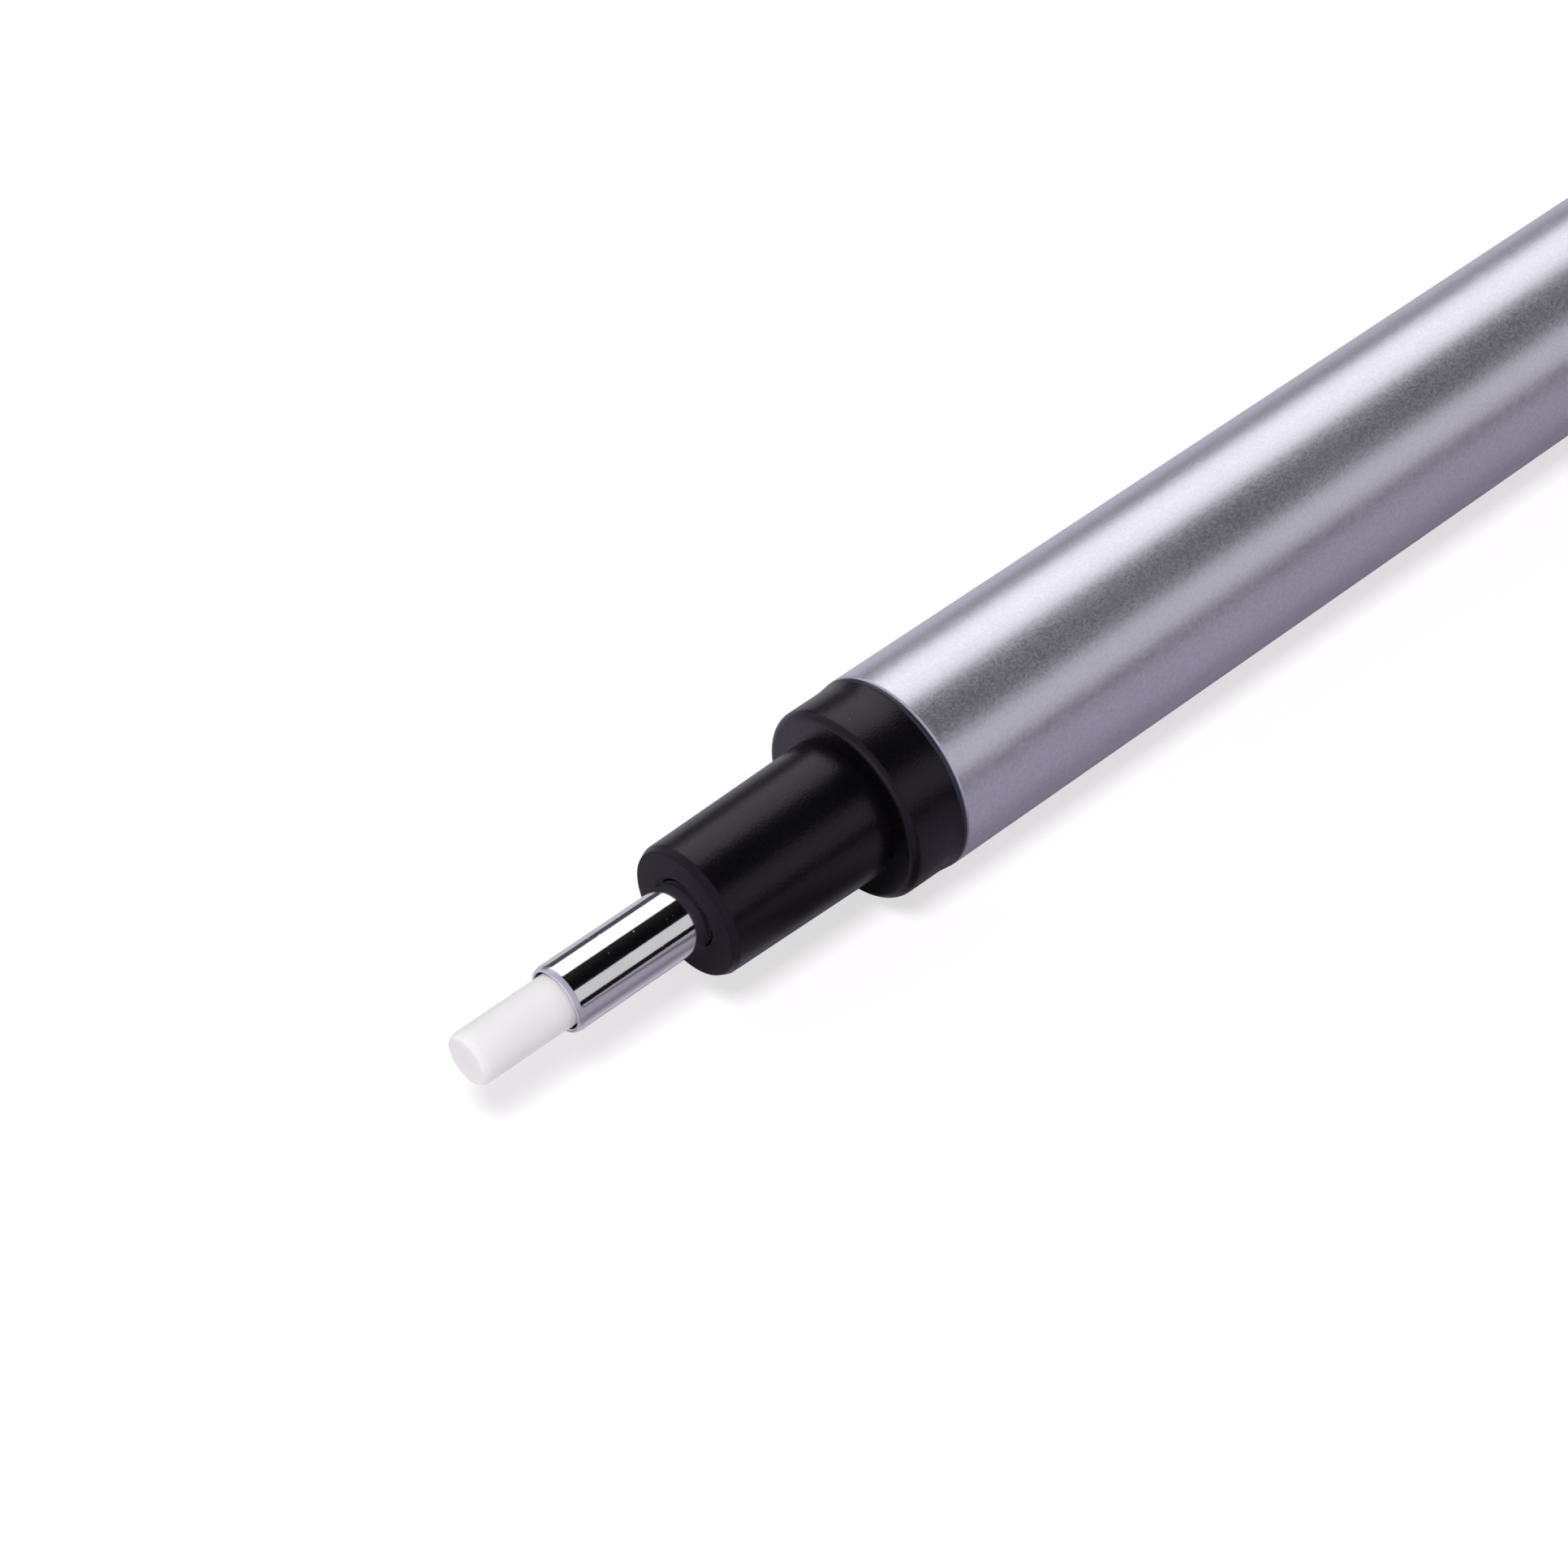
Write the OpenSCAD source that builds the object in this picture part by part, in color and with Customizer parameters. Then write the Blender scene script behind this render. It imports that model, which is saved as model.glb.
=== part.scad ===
// Pen-type retractable eraser, lying on a table and leaning on its clip.
// Sizes are millimetres. In the pen's own frame X runs from the eraser's tip to the button,
// the axis is the X axis, and +Z is the clip's side. in_place() rolls it and sets it down.

/* [Eraser core] */
// Diameter of the eraser core
core_d = 2.3; // [2:0.05:2.6]
// Length of the eraser core
core_len = 85; // [50:1:88]
// Length of core that stands out of the guide sleeve
core_out = 4.4; // [1:0.01:8]
// Length of the worn edge at the core's tip
core_edge_len = 0.26; // [0.1:0.02:0.6]
// Drop of the worn edge at the core's tip
core_edge_drop = 0.1; // [0.05:0.01:0.3]

/* [Guide sleeve] */
// Radial gap between the core and the sleeve
sleeve_gap = 0.11; // [0.05:0.01:0.2]
// Wall of the guide sleeve
sleeve_wall = 0.2; // [0.15:0.01:0.3]
// Length of sleeve that stands out of the nose
sleeve_out = 6.53; // [3:0.01:9]
// Length of the sleeve's drawn-in front edge
sleeve_edge_len = 0.24; // [0.1:0.02:0.5]
// Drop of the sleeve's drawn-in front edge
sleeve_edge_drop = 0.07; // [0.03:0.01:0.1]
// Length of sleeve held in the nose
sleeve_seat = 5; // [3:0.1:6]
// Rise of the sleeve's pressed land over its free part
sleeve_land_rise = 0.03; // [0.01:0.01:0.06]
// Length of the cone that leads to the pressed land
sleeve_lead_len = 0.6; // [0.55:0.05:1]
// Rise of the sleeve's rear flange over its wall
sleeve_flange_rise = 0.4; // [0.3:0.05:0.45]
// Thickness of the sleeve's rear flange
sleeve_flange_t = 0.5; // [0.3:0.1:0.8]

/* [Nose] */
// Diameter of the nose tube at its front edge
tube_front_d = 5.83; // [5.5:0.01:6.4]
// Diameter of the nose tube where it meets the collar
tube_rear_d = 6.11; // [5.7:0.01:6.6]
// Length of the nose tube
tube_len = 8.32; // [8:0.01:10]
// Length of the nose tube's front edge
tube_edge_len = 0.34; // [0.1:0.02:0.6]
// Drop of the nose tube's front edge
tube_edge_drop = 0.16; // [0.08:0.02:0.4]
// Radius of the dark corner between tube and collar
tube_root_r = 0.05; // [0.05:0.05:0.3]
// Diameter of the collar
collar_d = 8.56; // [8:0.01:8.6]
// Length of the collar
collar_len = 2.55; // [2:0.05:4]
// Radius of the collar's front edge
collar_edge_r = 0.38; // [0.1:0.02:0.6]
// Length of the flare behind the collar's straight part
collar_flare_len = 0.7; // [0.2:0.05:0.9]
// Drop of the flare's rear radius under the barrel's
collar_flare_drop = 0.03; // [0.01:0.01:0.1]
// Length of the threaded spigot behind the collar
spigot_len = 9.2; // [7:0.1:10.2]
// Wall of the spigot under its thread
spigot_wall = 0.35; // [0.25:0.05:0.45]

/* [Friction ring] */
// Rise of the nose's cavity over the chuck's head
cavity_gap = 0.1; // [0.06:0.01:0.2]
// Length of the rubber friction ring
friction_len = 2; // [1:0.1:2.2]
// Length of the bush behind the friction ring
retainer_len = 0.7; // [0.4:0.1:1]
// Radial gap between the core and the retainer bush
retainer_gap = 0.2; // [0.1:0.05:0.3]

/* [Thread] */
// Depth of the nose's thread
thread_depth = 0.2; // [0.1:0.02:0.24]
// Pitch of the nose's thread
thread_pitch = 0.75; // [0.6:0.05:1]

/* [Front insert] */
// Thickness of the insert's flange in front of the barrel
flange_t = 0.2; // [0.2:0.05:0.6]
// Drop of the flange's radius under the barrel's
flange_drop = 0.01; // [0:0.01:0.1]
// Wall of the insert outside its thread
insert_wall = 0.45; // [0.3:0.05:0.55]
// Length of the insert inside the barrel
insert_len = 11; // [10.5:0.5:20]

/* [Chuck] */
// Wall of the chuck's jaws in front
jaw_wall = 0.42; // [0.35:0.01:0.5]
// Wall of the chuck's shank
shank_wall = 0.3; // [0.2:0.02:0.34]
// Rise of the chuck's head over its jaws
head_rise = 0.35; // [0.2:0.01:0.4]
// Length of the head's straight part
head_len = 1.2; // [0.8:0.1:2]
// Length of the head's cone
head_cone_len = 1; // [0.8:0.1:1.6]
// Length of the part of the bore that grips the core
grip_len = 4; // [2:0.5:6]
// Length of the slits between the jaws
slit_len = 12; // [8:0.5:14]
// Width of the slits
slit_w = 0.35; // [0.2:0.05:0.5]
// Number of jaws
jaw_count = 3; // [2:1:4]
// Free length in front of the head at full press
head_front_gap = 0.27; // [0.1:0.01:1]

/* [Clutch] */
// Travel of the button
press_travel = 3; // [2:0.1:4]
// Travel of the clutch ring until it meets the nose's stop
ring_travel = 1; // [0.5:0.1:1.5]
// Length of the clutch ring
ring_len = 2.2; // [1.5:0.1:3]
// Wall of the clutch sleeve
clutch_wall = 0.4; // [0.3:0.02:0.5]
// Thickness of the sleeve's inner shoulder
shoulder_t = 1; // [0.6:0.1:1.5]
// Length of the clutch sleeve behind its outer flange
clutch_tail_len = 4.2; // [2:0.1:6]
// Thickness of the sleeve's outer flange
clutch_flange_t = 0.8; // [0.5:0.1:1.2]

/* [Spring] */
// Diameter of the spring wire
wire_d = 0.36; // [0.3:0.01:0.42]
// Number of open coils
coil_count = 9; // [6:1:11]
// Free length behind the sleeve at full press
spring_reserve = 0.7; // [0.4:0.1:3]
// Thickness of the washer behind the spring
washer_t = 0.3; // [0.2:0.05:0.6]

/* [Core tube] */
// Radial gap between the core and its tube
tank_gap = 0.25; // [0.15:0.05:0.35]
// Wall of the core tube
tank_wall = 0.4; // [0.3:0.05:0.5]
// Wall of the joint round the core tube
joint_wall = 0.5; // [0.3:0.05:0.7]
// Depth of each of the joint's two sockets
socket_len = 4; // [3:0.5:6]
// Thickness of the web between the joint's sockets
joint_web = 1; // [0.5:0.1:2]

/* [Barrel] */
// Diameter of the barrel
barrel_d = 8.74; // [8.6:0.01:9.4]
// Length of the barrel
barrel_len = 90; // [80:0.5:110]
// Wall of the barrel
barrel_wall = 0.5; // [0.4:0.05:0.55]
// Chamfer of the barrel's rims
barrel_chamfer = 0.12; // [0.05:0.01:0.25]

/* [Tail] */
// Length of the tail bush inside the barrel
bush_len = 9; // [7:0.5:14]
// Wall of the tail bush
bush_wall = 0.8; // [0.6:0.05:0.9]
// Length of the tail ring
tail_ring_len = 1.8; // [1:0.1:3]
// Wall of the tail ring
tail_ring_wall = 0.8; // [0.5:0.05:0.9]
// Radius of the tail ring's rear edge
tail_ring_edge_r = 0.3; // [0.1:0.05:0.5]

/* [Button] */
// Rise of the button's head over its shank
button_head_rise = 0.3; // [0.1:0.05:0.6]
// Length of the button's head
button_head_len = 7.4; // [5:0.1:12]
// Radius of the edge at the button's end
button_edge_r = 0.8; // [0.3:0.1:1.4]
// Length of the button's skirt in front of the tail ring's rear face
button_skirt_len = 6.8; // [4.5:0.1:7.5]
// Free length under the button's head at full press
button_head_gap = 0.4; // [0.2:0.1:1]
// Length of core tube held in the button
button_hold_len = 8; // [5:0.5:9]
// Thickness of the button's closed end
button_end_t = 3; // [1.5:0.1:5]
// Number of grip grooves round the button's head
groove_count = 4; // [2:1:6]
// Depth of the grip grooves
groove_depth = 0.15; // [0.05:0.01:0.25]
// Distance between the grip grooves
groove_pitch = 1; // [0.6:0.1:1.5]
// Thickness of the rubber ring in the button's bore
grip_ring_t = 0.7; // [0.5:0.05:0.8]
// Distance of the rubber ring from the front end of the button's skirt
grip_ring_back = 3; // [1:0.5:4]

/* [Clip] */
// Length of the clip from its free end to its root
clip_len = 34; // [20:0.5:40]
// Width of the clip
clip_w = 3.6; // [3:0.1:4]
// Thickness of the clip's sheet
clip_t = 0.6; // [0.4:0.05:0.8]
// Height of the gap between clip and barrel
clip_gap = 1.2; // [0.8:0.05:1.6]
// Outer radius of the bend at the clip's root
clip_bend_r = 1.5; // [1:0.1:1.8]
// Radius of the corners at the clip's free end
clip_corner_r = 1.2; // [0.5:0.1:1.5]
// Radius of the ball under the clip's free end
clip_ball_r = 1.3; // [1.1:0.05:1.5]
// Distance of the ball from the clip's free end
clip_ball_back = 2.4; // [1.8:0.1:6]
// Gap between the ball and the barrel
clip_ball_gap = 0.15; // [0.1:0.05:0.4]
// Width of the tab at the clip's root
clip_tab_w = 2.6; // [2:0.1:2.8]
// Distance of the tab from the barrel's rear rim
clip_tab_back = 4.6; // [3:0.1:5]
// Depth of the tab under the barrel's surface
clip_tab_depth = 0.95; // [0.8:0.01:1]

/* [Fits] */
// Radial gap of pieces that are pressed or glued together
press_gap = 0.02; // [0.01:0.005:0.03]
// Radial gap of pieces that slide or turn in each other
slide_gap = 0.05; // [0.03:0.005:0.07]
// Radial gap between the core and what grips it
grip_gap = 0.03; // [0.02:0.005:0.05]
// Gap round the clip's tab
tab_gap = 0.1; // [0.06:0.01:0.15]
// Gap at the end of each blind seat
end_gap = 0.1; // [0.05:0.01:0.2]

/* [Hidden] */
$fn = 96;

// Radii, from the core outwards
core_r = core_d / 2;
sleeve_in_r = core_r + sleeve_gap;
sleeve_r = sleeve_in_r + sleeve_wall;
sleeve_land_r = sleeve_r + sleeve_land_rise;
sleeve_flange_r = sleeve_r + sleeve_flange_rise;
grip_r = core_r + grip_gap;
jaw_r = grip_r + jaw_wall;
shank_in_r = jaw_r - shank_wall;
head_r = jaw_r + head_rise;
cavity_r = max(head_r, sleeve_flange_r) + cavity_gap;
tank_in_r = core_r + tank_gap;
tank_r = tank_in_r + tank_wall;
joint_r = tank_r + press_gap + joint_wall;

// Radii, from the barrel inwards
barrel_r = barrel_d / 2;
barrel_in_r = barrel_r - barrel_wall;
insert_r = barrel_in_r - press_gap;
female_r = insert_r - insert_wall;
male_r = female_r - slide_gap;
male_root_r = male_r - thread_depth;
female_crest_r = male_root_r + slide_gap;
spigot_in_r = male_root_r - spigot_wall;
clutch_r = spigot_in_r - press_gap;
clutch_in_r = clutch_r - clutch_wall;
ring_r = clutch_in_r - slide_gap;
ring_in_r = jaw_r + slide_gap;
spring_r = (clutch_in_r + jaw_r) / 2;
bush_r = barrel_in_r - press_gap;
bush_in_r = bush_r - bush_wall;
neck_r = barrel_r - tail_ring_wall - press_gap;
button_r = bush_in_r - slide_gap;
button_head_r = button_r + button_head_rise;
collar_r = collar_d / 2;
collar_flare_r = barrel_r - collar_flare_drop;

// Places along the axis, from the eraser's tip to the button's end
x_sleeve = core_out;
x_nose = x_sleeve + sleeve_out;
x_collar = x_nose + tube_len;
x_flange = x_collar + collar_len;
x_barrel = x_flange + flange_t;
x_barrel_end = x_barrel + barrel_len;
x_sleeve_flange = x_nose + sleeve_seat;
x_friction = x_sleeve_flange + sleeve_flange_t;
x_retainer = x_friction + friction_len;
x_head = x_retainer + retainer_len + head_front_gap + press_travel;
x_cone = x_head + head_len;
x_ring = x_cone + head_cone_len;
x_stop = x_ring - ring_travel;
x_shoulder = x_ring + ring_len + slide_gap;
x_spring = x_shoulder + shoulder_t;
x_spigot_end = x_flange + spigot_len;
x_clutch_end = x_spigot_end + clutch_flange_t + clutch_tail_len;
x_washer = x_clutch_end + press_travel + spring_reserve;
x_joint = x_washer + washer_t;
x_web = x_joint + socket_len;
x_tank = x_web + joint_web;
x_joint_end = x_tank + socket_len;
x_bush = x_barrel_end - bush_len;
x_tail_end = x_barrel_end + tail_ring_len;
x_skirt = x_tail_end - button_skirt_len;
x_button_head = x_tail_end + press_travel + button_head_gap;
x_end = x_button_head + button_head_len;
x_tank_end = x_skirt + button_hold_len;
x_grip = x_skirt + grip_ring_back;

// Clip: its outer face is flat and parallel to the axis
clip_top = barrel_r + clip_gap + clip_t;
x_tab_rear = x_barrel_end - clip_tab_back;
x_tab = x_tab_rear - clip_t;
x_clip = x_tab_rear - clip_len;
x_ball = x_clip + clip_ball_back;
tab_low = barrel_r - clip_tab_depth;
ball_z = barrel_r + clip_ball_gap + clip_ball_r;

// Small edges and gaps
sleeve_lip_r = 0.05;
mouth_chamfer = 0.15;
flange_round_r = 0.15;
head_chamfer = 0.15;
ring_chamfer = 0.1;
shoulder_gap = 0.12;
spring_end_gap = 0.02;
closed_pitch_share = 1.15;
joint_chamfer = 0.2;
skirt_chamfer = 0.2;
button_front_plain = 1.6;

// Thread in the spigot and the insert
thread_lead = 1;
x_thread = x_barrel + thread_lead;
thread_turns = floor((x_spigot_end - x_thread) / thread_pitch);
x_thread_end = x_thread + thread_turns * thread_pitch;
x_insert_end = x_barrel + insert_len;

// The pen rolls about its axis until the clip's edge and the barrel both touch the table
clip_corner_reach = norm([clip_top, clip_w / 2]);
clip_corner_turn = atan2(clip_w / 2, clip_top);
clip_lean = acos(barrel_r / clip_corner_reach) + clip_corner_turn;
clip_side_reach = clip_corner_reach * sin(clip_lean + clip_corner_turn);
axis_y = (clip_side_reach - barrel_r) / 2;

module in_place() {
    translate([-x_end / 2, axis_y, barrel_r])
        rotate([180 - clip_lean, 0, 0])
            children();
}

// Solid of revolution round X from a closed profile of [place along X, radius] points
module lathe(profile) {
    rotate([0, 90, 0])
        rotate_extrude()
            polygon([for (p = profile) [p[1], p[0]]]);
}

// Straight tube along X between two places
module tube_x(x0, x1, r_out, r_in) {
    lathe([[x0, r_in], [x1, r_in], [x1, r_out], [x0, r_out]]);
}

// Solid between two outlines that lie in the X-Z plane, as wide as given and centred on the pen
module side_plate(outline, width) {
    rotate([90, 0, 0])
        linear_extrude(height = width, center = true)
            polygon(outline);
}

// Block on the clip's side for a slot: from x0 to x1, from z0 upwards
module slot_block(x0, x1, width, z0) {
    translate([x0, -width / 2, z0])
        cube([x1 - x0, width, barrel_r]);
}

// Points of an arc round [x, r] from angle a to angle b
function arc(x, r, radius, a, b, steps = 8) =
    [for (i = [0:steps]) let (t = a + (b - a) * i / steps) [x + radius * cos(t), r + radius * sin(t)]];

// Points of a rounded front edge: a quarter ellipse that ends at [x + length, r]
function front_edge(x, r, length, drop, steps = 8) =
    [for (i = [0:steps]) let (t = 90 * i / steps)
        [x + length * (1 - cos(t)), r - drop * (1 - sin(t))]];

// V ridges of a thread, drawn as rings: radius low at each pitch's ends and high in its middle
function ridges(low, high) =
    [for (i = [0:thread_turns - 1], half = [0, 1])
        [x_thread + (i + half / 2) * thread_pitch, half == 0 ? low : high]];

function reversed(list) = [for (i = [len(list) - 1:-1:0]) list[i]];

// White vinyl stick with a worn front edge
module eraser_core() {
    color("whitesmoke")
        lathe(concat(
            [[0, 0]],
            front_edge(0, core_r, core_edge_len, core_edge_drop),
            [[core_len, core_r], [core_len, 0]]
        ));
}

// Chromed tube with a round front rim, a pressed land and a rear flange
module guide_sleeve() {
    color("silver")
        lathe(concat(
            [[x_friction, sleeve_in_r]],
            arc(x_sleeve + sleeve_lip_r, sleeve_in_r + sleeve_lip_r, sleeve_lip_r, 270, 180, 4),
            front_edge(x_sleeve, sleeve_r, sleeve_edge_len, sleeve_edge_drop),
            [
                [x_nose, sleeve_r],
                [x_nose + sleeve_lead_len, sleeve_land_r],
                [x_sleeve_flange, sleeve_land_r],
                [x_sleeve_flange, sleeve_flange_r],
                [x_friction, sleeve_flange_r]
            ]
        ));
}

// Black moulding: narrow tube, collar with a flare, threaded spigot and the stepped bore
module nose_cone() {
    bore_r = sleeve_land_r + press_gap;
    flare_x = x_flange - collar_flare_len;
    flare_steps = 4;
    color("dimgray")
        lathe(concat(
            [[x_nose + mouth_chamfer, bore_r], [x_nose, bore_r + mouth_chamfer]],
            front_edge(x_nose, tube_front_d / 2, tube_edge_len, tube_edge_drop),
            arc(x_collar - tube_root_r, tube_rear_d / 2 + tube_root_r, tube_root_r, 270, 360, 4),
            arc(x_collar + collar_edge_r, collar_r - collar_edge_r, collar_edge_r, 180, 90),
            [for (i = [0:flare_steps]) let (s = i / flare_steps)
                [flare_x + s * collar_flare_len, collar_r + (collar_flare_r - collar_r) * s * s]],
            [[x_flange, male_root_r]],
            ridges(male_root_r, male_r),
            [
                [x_thread_end, male_root_r],
                [x_spigot_end, male_root_r],
                [x_spigot_end, spigot_in_r],
                [x_stop, spigot_in_r],
                [x_stop, cavity_r],
                [x_sleeve_flange, cavity_r],
                [x_sleeve_flange, bore_r]
            ]
        ));
}

// Threaded bush in the barrel's mouth, with the thin flange that shows before the rim
module front_insert() {
    flange_r = barrel_r - flange_drop;
    color("darkslategray")
        lathe(concat(
            [[x_flange, female_crest_r]],
            arc(x_flange + flange_round_r, flange_r - flange_round_r, flange_round_r, 180, 90, 4),
            [
                [x_barrel, flange_r],
                [x_barrel, insert_r],
                [x_insert_end, insert_r],
                [x_insert_end, female_crest_r],
                [x_thread_end, female_crest_r]
            ],
            reversed(ridges(female_crest_r, female_r))
        ));
}

// Silver tube with chamfered rims and the slot for the clip's tab
module barrel() {
    color("lightsteelblue")
        difference() {
            lathe([
                [x_barrel, barrel_in_r],
                [x_barrel, barrel_r - barrel_chamfer],
                [x_barrel + barrel_chamfer, barrel_r],
                [x_barrel_end - barrel_chamfer, barrel_r],
                [x_barrel_end, barrel_r - barrel_chamfer],
                [x_barrel_end, barrel_in_r]
            ]);
            tab_slot();
        }
}

// Space for the clip's tab, cut in the barrel and the tail bush
module tab_slot() {
    slot_block(x_tab - tab_gap, x_tab_rear + tab_gap, clip_tab_w + 2 * tab_gap, tab_low - tab_gap);
}

// Rubber ring with two lips on the core
module friction_ring() {
    lip_len = friction_len / 4;
    relief_r = (core_r + cavity_r) / 2;
    color("darkslateblue")
        lathe([
            [x_friction, grip_r],
            [x_friction + lip_len, grip_r],
            [x_friction + friction_len / 2, relief_r],
            [x_retainer - lip_len, grip_r],
            [x_retainer, grip_r],
            [x_retainer, cavity_r - press_gap],
            [x_friction, cavity_r - press_gap]
        ]);
}

// Bush that keeps the friction ring in the nose
module friction_retainer() {
    color("khaki")
        tube_x(x_retainer, x_retainer + retainer_len, cavity_r - press_gap, core_r + retainer_gap);
}

// Collet with slit jaws, a head with a cone, and a long shank
module chuck() {
    color("goldenrod")
        difference() {
            lathe([
                [x_head, grip_r],
                [x_head, head_r - head_chamfer],
                [x_head + head_chamfer, head_r],
                [x_cone, head_r],
                [x_ring, jaw_r],
                [x_web, jaw_r],
                [x_web, shank_in_r],
                [x_head + grip_len + jaw_r - grip_r, shank_in_r],
                [x_head + grip_len, grip_r]
            ]);
            for (i = [0:jaw_count - 1])
                rotate([i * 360 / jaw_count, 0, 0])
                    translate([x_head - slit_w, -slit_w / 2, 0])
                        cube([slit_len + slit_w, slit_w, head_r + slit_w]);
        }
}

// Ring that wedges the jaws shut
module clutch_ring() {
    color("gold")
        lathe([
            [x_ring + ring_chamfer, ring_in_r],
            [x_ring, ring_in_r + ring_chamfer],
            [x_ring, ring_r],
            [x_ring + ring_len, ring_r],
            [x_ring + ring_len, ring_in_r]
        ]);
}

// Housing of the ring and of the spring's front end
module clutch_sleeve() {
    shoulder_in_r = jaw_r + shoulder_gap;
    flange_end = x_spigot_end + clutch_flange_t;
    color("peru")
        lathe([
            [x_stop, clutch_in_r],
            [x_stop, clutch_r],
            [x_spigot_end, clutch_r],
            [x_spigot_end, male_root_r],
            [flange_end, male_root_r],
            [flange_end, clutch_r],
            [x_clutch_end, clutch_r],
            [x_clutch_end, clutch_in_r],
            [x_spring, clutch_in_r],
            [x_spring, shoulder_in_r],
            [x_shoulder, shoulder_in_r],
            [x_shoulder, clutch_in_r]
        ]);
}

// Coil spring: one closed turn at each end and open turns between
module return_spring() {
    sides = 6;
    turn_steps = 12;
    turns = coil_count + 2;
    steps = turns * turn_steps;
    wire_r = wire_d / 2;
    closed_pitch = wire_d * closed_pitch_share;
    x_first = x_spring + wire_r + spring_end_gap;
    x_last = x_washer - wire_r - spring_end_gap;
    open_pitch = (x_last - x_first - 2 * closed_pitch) / coil_count;
    function along(turn) = x_first + closed_pitch * min(turn, 1)
        + open_pitch * max(0, min(turn - 1, coil_count))
        + closed_pitch * max(0, turn - 1 - coil_count);
    rings = [for (i = [0:steps]) let (turn = i / turn_steps, a = 360 * turn)
        [for (k = [0:sides - 1]) let (b = 360 * k / sides, r = spring_r + wire_r * cos(b))
            [along(turn) + wire_r * sin(b), r * cos(a), r * sin(a)]]];
    points = [for (ring = rings) for (p = ring) p];
    walls = [for (i = [0:steps - 1], k = [0:sides - 1]) let (a = i * sides, b = a + sides, n = (k + 1) % sides)
        [a + k, b + k, b + n, a + n]];
    first_cap = [for (k = [0:sides - 1]) k];
    last_cap = [for (k = [sides - 1:-1:0]) steps * sides + k];
    color("slategray")
        polyhedron(points, concat(walls, [first_cap, last_cap]));
}

// Flat washer between the spring and the joint
module spring_washer() {
    color("gray")
        tube_x(x_washer, x_joint, joint_r, jaw_r + slide_gap);
}

// Joint with a socket for the chuck's shank and one for the core tube
module chuck_joint() {
    color("tan")
        lathe([
            [x_joint, jaw_r + press_gap],
            [x_joint, joint_r],
            [x_joint_end - joint_chamfer, joint_r],
            [x_joint_end, joint_r - joint_chamfer],
            [x_joint_end, tank_r + press_gap],
            [x_tank, tank_r + press_gap],
            [x_tank, shank_in_r],
            [x_web, shank_in_r],
            [x_web, jaw_r + press_gap]
        ]);
}

// Long tube that holds the core
module core_tube() {
    color("ivory")
        tube_x(x_tank, x_tank_end, tank_r, tank_in_r);
}

// Bearing of the button in the barrel's rear end, with the pocket for the clip's tab
module tail_bush() {
    color("darkgray")
        difference() {
            lathe([
                [x_bush, bush_in_r],
                [x_bush, bush_r],
                [x_barrel_end, bush_r],
                [x_barrel_end, neck_r],
                [x_tail_end, neck_r],
                [x_tail_end, bush_in_r]
            ]);
            tab_slot();
        }
}

// Ring on the bush's neck, round at its rear edge
module tail_ring() {
    color("lightgray")
        lathe(concat(
            [[x_barrel_end, neck_r + press_gap], [x_barrel_end, barrel_r]],
            arc(x_tail_end - tail_ring_edge_r, barrel_r - tail_ring_edge_r, tail_ring_edge_r, 90, 0),
            [[x_tail_end, neck_r + press_gap]]
        ));
}

// Stamped clip: flat arm with a bend and a tab at its root and a ball near its free end
module pocket_clip() {
    bend_x = x_tab_rear - clip_bend_r;
    bend_z = clip_top - clip_bend_r;
    color("gainsboro")
        difference() {
            union() {
                intersection() {
                    side_plate(concat(
                        [[x_clip, clip_top]],
                        arc(bend_x, bend_z, clip_bend_r, 90, 0),
                        arc(bend_x, bend_z, clip_bend_r - clip_t, 0, 90),
                        [[x_clip, clip_top - clip_t]]
                    ), clip_w);
                    clip_plan();
                }
                side_plate([
                    [x_tab, tab_low], [x_tab_rear, tab_low], [x_tab_rear, bend_z], [x_tab, bend_z]
                ], clip_tab_w);
                intersection() {
                    translate([x_ball, 0, ball_z])
                        sphere(clip_ball_r);
                    translate([x_clip, -clip_w / 2, 0])
                        cube([2 * clip_ball_back, clip_w, clip_top]);
                }
            }
            translate([x_ball, 0, ball_z])
                sphere(clip_ball_r - clip_t);
        }
}

// Outline of the clip seen from above, with round corners at its free end
module clip_plan() {
    linear_extrude(height = clip_top + clip_t) {
        translate([x_clip + clip_corner_r, -clip_w / 2])
            square([clip_len, clip_w]);
        translate([x_clip, -clip_w / 2 + clip_corner_r])
            square([clip_len, clip_w - 2 * clip_corner_r]);
        for (side = [-1, 1])
            translate([x_clip + clip_corner_r, side * (clip_w / 2 - clip_corner_r)])
                circle(clip_corner_r);
    }
}

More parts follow.
